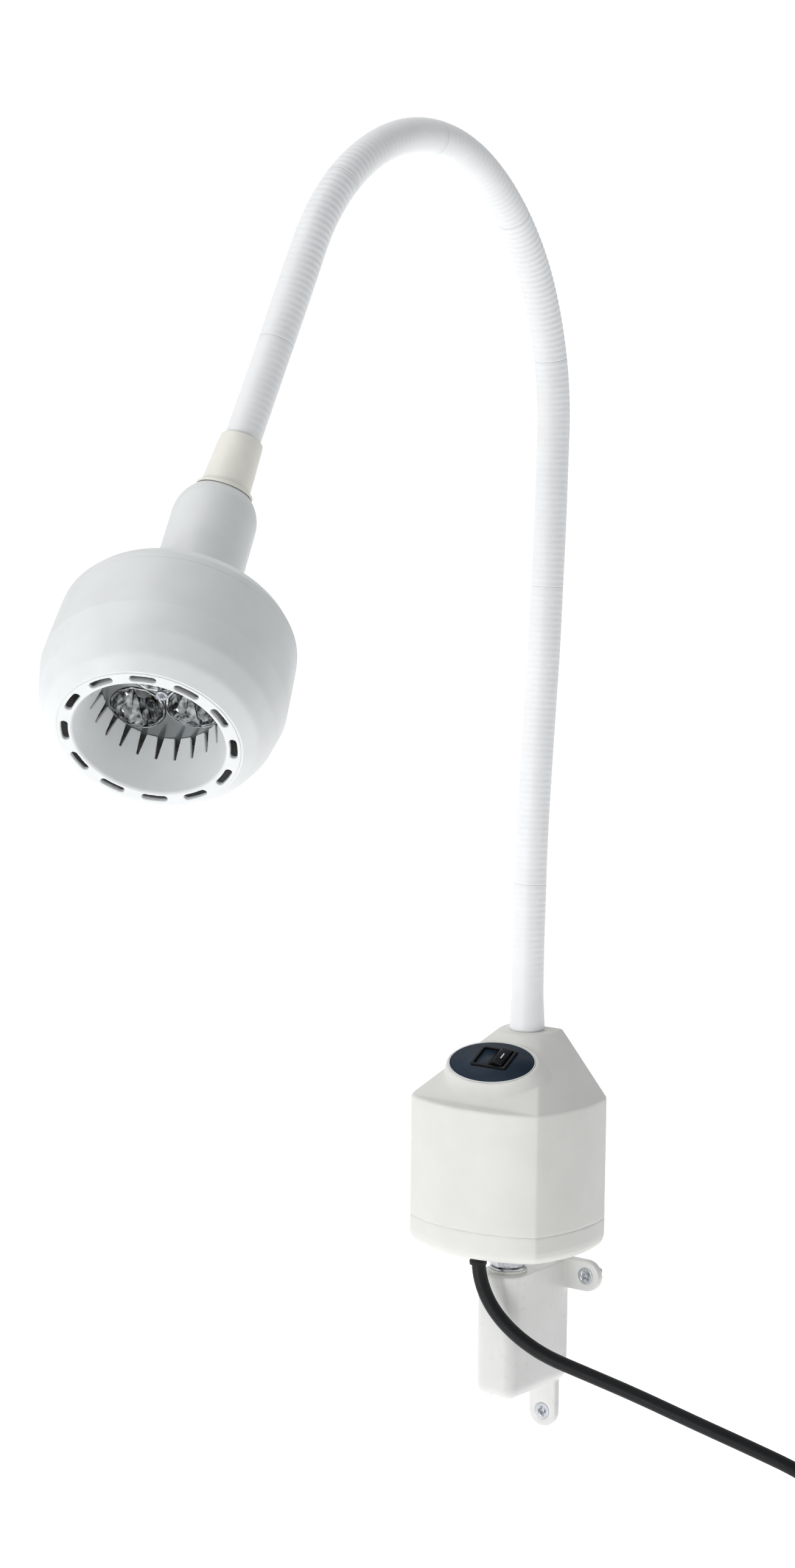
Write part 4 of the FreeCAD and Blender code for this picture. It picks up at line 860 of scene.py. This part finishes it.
def screw_mesh(head_radius, shank_radius, length, head_height, matrix, pitch):
    """A countersunk screw: a dished cross in the head, and a thread that fades at its ends."""
    around = 48
    angles = [2 * math.pi * k / around for k in range(around)]
    rows = []
    for share in (0.0, 0.16, 0.3, 0.44, 0.56, 0.68, 0.8, 0.92, 1.0):
        loop = []
        for a in angles:
            r = share * (head_radius - 0.25)
            x, y = r * math.cos(a), r * math.sin(a)
            u = min(abs(x), abs(y))
            reach = max(abs(x), abs(y))
            arm = max(0.0, 1.0 - reach / (0.62 * head_radius))
            middle = max(0.0, 1 - reach / (0.3 * head_radius))
            wide = 0.15 * head_radius + 0.12 * head_radius * middle
            wall = 1.0 / (1.0 + math.exp((u - wide) / (0.03 * head_radius)))
            z = -RECESS_DEPTH * wall * min(1.0, arm * 2.2) if arm > 0 else 0.0
            loop.append(Vector((x, y, z)))
        rows.append(loop)
    for r, z in ((head_radius - 0.08, -0.08), (head_radius, -0.3),
                 (shank_radius + 0.25, -head_height),
                 (shank_radius * 0.96, -head_height - 0.6)):
        rows.append([Vector((r * math.cos(a), r * math.sin(a), z)) for a in angles])
    steps = int(length / pitch * 14)
    thread_from, thread_to = -head_height - 1.2, -head_height - length
    for s in range(steps + 1):
        t = s / steps
        z = thread_from + (thread_to - thread_from) * t
        loop = []
        point = max(0.0, (t - 0.86) / 0.14)
        fade = min(1.0, t * 12)
        for a in angles:
            phase = (z / pitch + a / (2 * math.pi)) % 1.0
            ridge = max(0.0, 1 - abs(phase - 0.5) / 0.28)
            crest = 0.78 + 0.22 * ridge * fade + 0.18 * (1 - fade)
            r = shank_radius * crest * (1 - 0.93 * point ** 1.6)
            loop.append(Vector((r * math.cos(a), r * math.sin(a), z)))
        rows.append(loop)
    verts = [v * MM for loop in rows for v in loop]
    faces = walls(len(rows), around)
    faces.append(tuple(reversed([(len(rows) - 1) * around + k for k in range(around)])))
    return facing_out(mesh_from("screw", verts, faces, matrix), 0.000002)


SCREW_PLACES = ((-24.5, 0, 20), (24.5, 0, 35), (0, -74, 10))
SCREW_HEAD_Y = -4.15


def build_wall_screws():
    out_of_wall = Matrix.Rotation(math.radians(90), 4, "X")
    meshes = []
    for x, z, turn in SCREW_PLACES:
        place = (Matrix.Translation(Vector((x, SCREW_HEAD_Y, z)) * MM) @ out_of_wall
                 @ Matrix.Rotation(math.radians(turn), 4, "Z"))
        meshes.append(screw_mesh(4.2, 2.2, 11.5, 2.6, place, 1.4))
    piece = add_object("wall_screw_set", joined("wall_screw_set", meshes), "bracket", "zinc_screws",
                       ["wall_screws"])
    crisp(piece, 50)


# ---------------------------------------------------------------- ball joint and head

def build_boot():
    profile = [(6.2, 17.9), (9.0, 16.6), (12.3, 14.25, 0.2), (12.6, 14.3, 0.2),
               (12.6, 15.5, 0.5), (11.2, 16.1, 0.5), (10.75, 17.6, 0.8), (10.55, 23.0, 0.4),
               (9.75, 35.5, 0.5), (9.4, 39.2, 0.6), (8.8, 39.7, 0.4), (8.32, 39.2, 0.3),
               (8.32, 35.2, 0.2), (6.2, 35.2, 0.2)]
    turned("flex_boot", profile, STUD_FRAME, "ball", "boot_cream", ["boot"], 0.4, 128)


HEAD_STEPS = 224


def build_head_shell():
    outside = [(37.7, 0.3), (38.6, 0.3), (44.2, 5.5, 9.0), (48.9, 15.0, 12.0), (51.4, 27.5, 2.0),
               (50.9, 40.0, 8.0), (50.2, 54.0, 0.12)]
    inside = [(47.8, 54.0, 0.3), (48.0, 28.0, 6.0), (47.0, 16.9, 6.0), (41.8, 7.0, 6.0),
              (37.7, 3.4, 0.5)]
    profile = rounded(outside + inside, 0.35, 8)
    mesh = turned_mesh("head_shell_turned", profile, HEAD_FRAME, HEAD_STEPS)
    add_object("head_shell_turned", mesh, "head", "head_white", ["head_shell"])


def build_rear_cover():
    profile = [(47.65, 54.08, 0.2), (50.19, 54.08, 0.12), (49.8, 57.6, 2.5), (46.9, 62.6, 7.0),
               (36.0, 71.5, 6.0), (21.0, 81.2, 4.0), (9.3, 82.0, 0.5), (9.3, 79.4, 0.3),
               (19.0, 79.4, 3.0), (44.3, 59.7, 5.0), (45.85, 56.4, 0.5), (45.85, 51.0, 0.2),
               (47.65, 51.0, 0.2)]
    turned("rear_cover_turned", profile, HEAD_FRAME, "head", "head_white", ["rear_cover"], 0.4,
           HEAD_STEPS)


CUP_CIRCLE, CUP_RADIUS, CUP_DEPTH, CUP_LOW = 13.6, 10.8, 12.0, 3.6
CUP_MOUTH = 25.0
CUP_BACK = 0.8
CUP_FRAMES = [HEAD_FRAME @ Matrix.Translation(Vector((CUP_CIRCLE * math.cos(a),
                                                      CUP_CIRCLE * math.sin(a), CUP_MOUTH)) * MM)
              for a in (math.radians(angle) for angle in (90, 210, 330))]


def build_reflectors():
    """Three metallised cups of flat facets in staggered rows."""
    meshes = []
    facets, rows = 12, 5
    for at in CUP_FRAMES:
        verts = []
        for row in range(rows + 1):
            t = row / rows
            r = CUP_LOW + (CUP_RADIUS - CUP_LOW) * (1 - t) ** 0.62
            for k in range(facets):
                b = 2 * math.pi * (k + row * 0.5) / facets
                verts.append(Vector((r * math.cos(b), r * math.sin(b), CUP_DEPTH * t)) * MM)
        faces = []
        for row in range(rows):
            for k in range(facets):
                n = (k + 1) % facets
                lo, hi = row * facets, (row + 1) * facets
                faces.append((lo + k, hi + k, lo + n))
                faces.append((lo + n, hi + k, hi + n))
        back = len(verts)
        for r, z, shift in ((CUP_LOW + CUP_BACK, CUP_DEPTH, rows * 0.5),
                            (CUP_RADIUS + CUP_BACK, 0.0, 0)):
            for k in range(facets):
                b = 2 * math.pi * (k + shift) / facets
                verts.append(Vector((r * math.cos(b), r * math.sin(b), z)) * MM)
        top = rows * facets
        for k in range(facets):
            n = (k + 1) % facets
            faces.append((top + k, back + k, back + n, top + n))
            faces.append((back + k, back + facets + k, back + facets + n, back + n))
            faces.append((back + facets + k, k, n, back + facets + n))
        meshes.append(mesh_from("cup", verts, faces, at))
    mesh = facing_out(joined("reflector_cup_set", meshes))
    add_object("reflector_cup_set", mesh, "head", "reflector_chrome", ["reflector_cups"],
               smooth=False)


def build_lenses():
    """A small clear dome over each light, deep in its cup."""
    dome = [(3.3 * math.sin(t), 9.9 - 3.3 * math.cos(t))
            for t in (math.radians(angle) for angle in (15, 30, 45, 60, 75, 90))]
    profile = [Vector(p) for p in [(0, 6.6), *dome, (3.4, 11.2), (0, 11.2)]]
    meshes = [turned_mesh("lens", profile, at, 48) for at in CUP_FRAMES]
    add_object("lens_domes", joined("lens_domes", meshes), "head", "lens_clear", ["lamp_lenses"])


def build_lamp_screw():
    inwards = Matrix.Rotation(math.pi, 4, "X")
    at = HEAD_FRAME @ Matrix.Translation(Vector((0, 0, 24.4)) * MM) @ inwards
    piece = add_object("lamp_screw_turned", screw_mesh(2.6, 1.2, 14.0, 1.6, at, 0.7), "head",
                       "zinc_screws", ["lamp_screw"])
    crisp(piece, 50)


# ---------------------------------------------------------------- floor

DISH = [(0.3, 0.0), (1.0, 0.0), (2.6, 0.0), (5.0, 0.0), (7.0, 0.12), (8.6, 0.7), (9.9, 1.8),
        (10.7, 3.4), (11.0, 5.6)]
DISH_STEPS = 96
DISH_DROP = 0.004
DISH_GLOW = 0.62


def build_floor():
    """A pale studio dish, flat below and sweeping up far away, that glows ahead of the lamp."""
    low = CAD_BOX[0][2] - DISH_DROP
    turns = [2 * math.pi * k / DISH_STEPS for k in range(DISH_STEPS)]
    verts = [(r * math.cos(a), r * math.sin(a), low + z) for r, z in DISH for a in turns]
    faces = walls(len(DISH), DISH_STEPS)
    faces.append(tuple(range(DISH_STEPS)))
    mesh = mesh_from("studio_floor", verts, faces)
    m = material("studio_white", (0.86, 0.865, 0.87), 0.985, (0.75, 0.85), 40, 0.0001, broad=2)
    mesh.materials.append(m)
    mesh.polygons.foreach_set("use_smooth", [True] * len(mesh.polygons))
    tree = m.node_tree
    shader = tree.nodes["Principled BSDF"]
    where = tree.nodes.new("ShaderNodeTexCoord").outputs["Object"]
    ahead = spread(tree, along(tree, where, (-0.58, 0.80, 0.0)), 0.0, 1.0, -1.6, -0.4)
    glow = ramp(tree, ahead, (0.08, 0.08, 0.085), (1, 1, 1), (0.0, 1.0))
    aside = tree.nodes.new("ShaderNodeMath")
    aside.operation = "ABSOLUTE"
    tree.links.new(along(tree, where, (0.80, 0.59, 0.0)), aside.inputs[0])
    narrowed = tree.nodes.new("ShaderNodeVectorMath")
    narrowed.operation = "SCALE"
    tree.links.new(glow, narrowed.inputs[0])
    tree.links.new(spread(tree, aside.outputs["Value"], 1.0, 0.12, 1.7, 3.6),
                   narrowed.inputs["Scale"])
    tree.links.new(narrowed.outputs["Vector"], shader.inputs["Emission Color"])
    shader.inputs["Emission Strength"].default_value = DISH_GLOW
    floor = bpy.data.objects.new("studio_floor", mesh)
    bpy.context.scene.collection.objects.link(floor)


def paint_cad_nodes():
    for name, obj in frame["nodes"].items():
        obj.data.materials.clear()
        obj.data.materials.append(SLOTS[SLOT_OF[name]])


paint_cad_nodes()
add_camera()
add_lights()
build_floor()
build_lead()
build_gland()
build_gooseneck()
build_housing()
softened("wall_bracket_moulded", "wall_bracket", "bracket", 0.6, 9)
build_wall_screws()
build_pivot()
build_switch()
build_boot()
softened("neck_moulded", "neck", "neck", 0.45, 4)
build_head_shell()
build_rear_cover()
softened("front_ring_moulded", "front_ring", "head", 0.34, 2)
softened("lamp_holder_moulded", "lamp_holder", "head", 0.34, 2)
build_reflectors()
build_lenses()
build_lamp_screw()
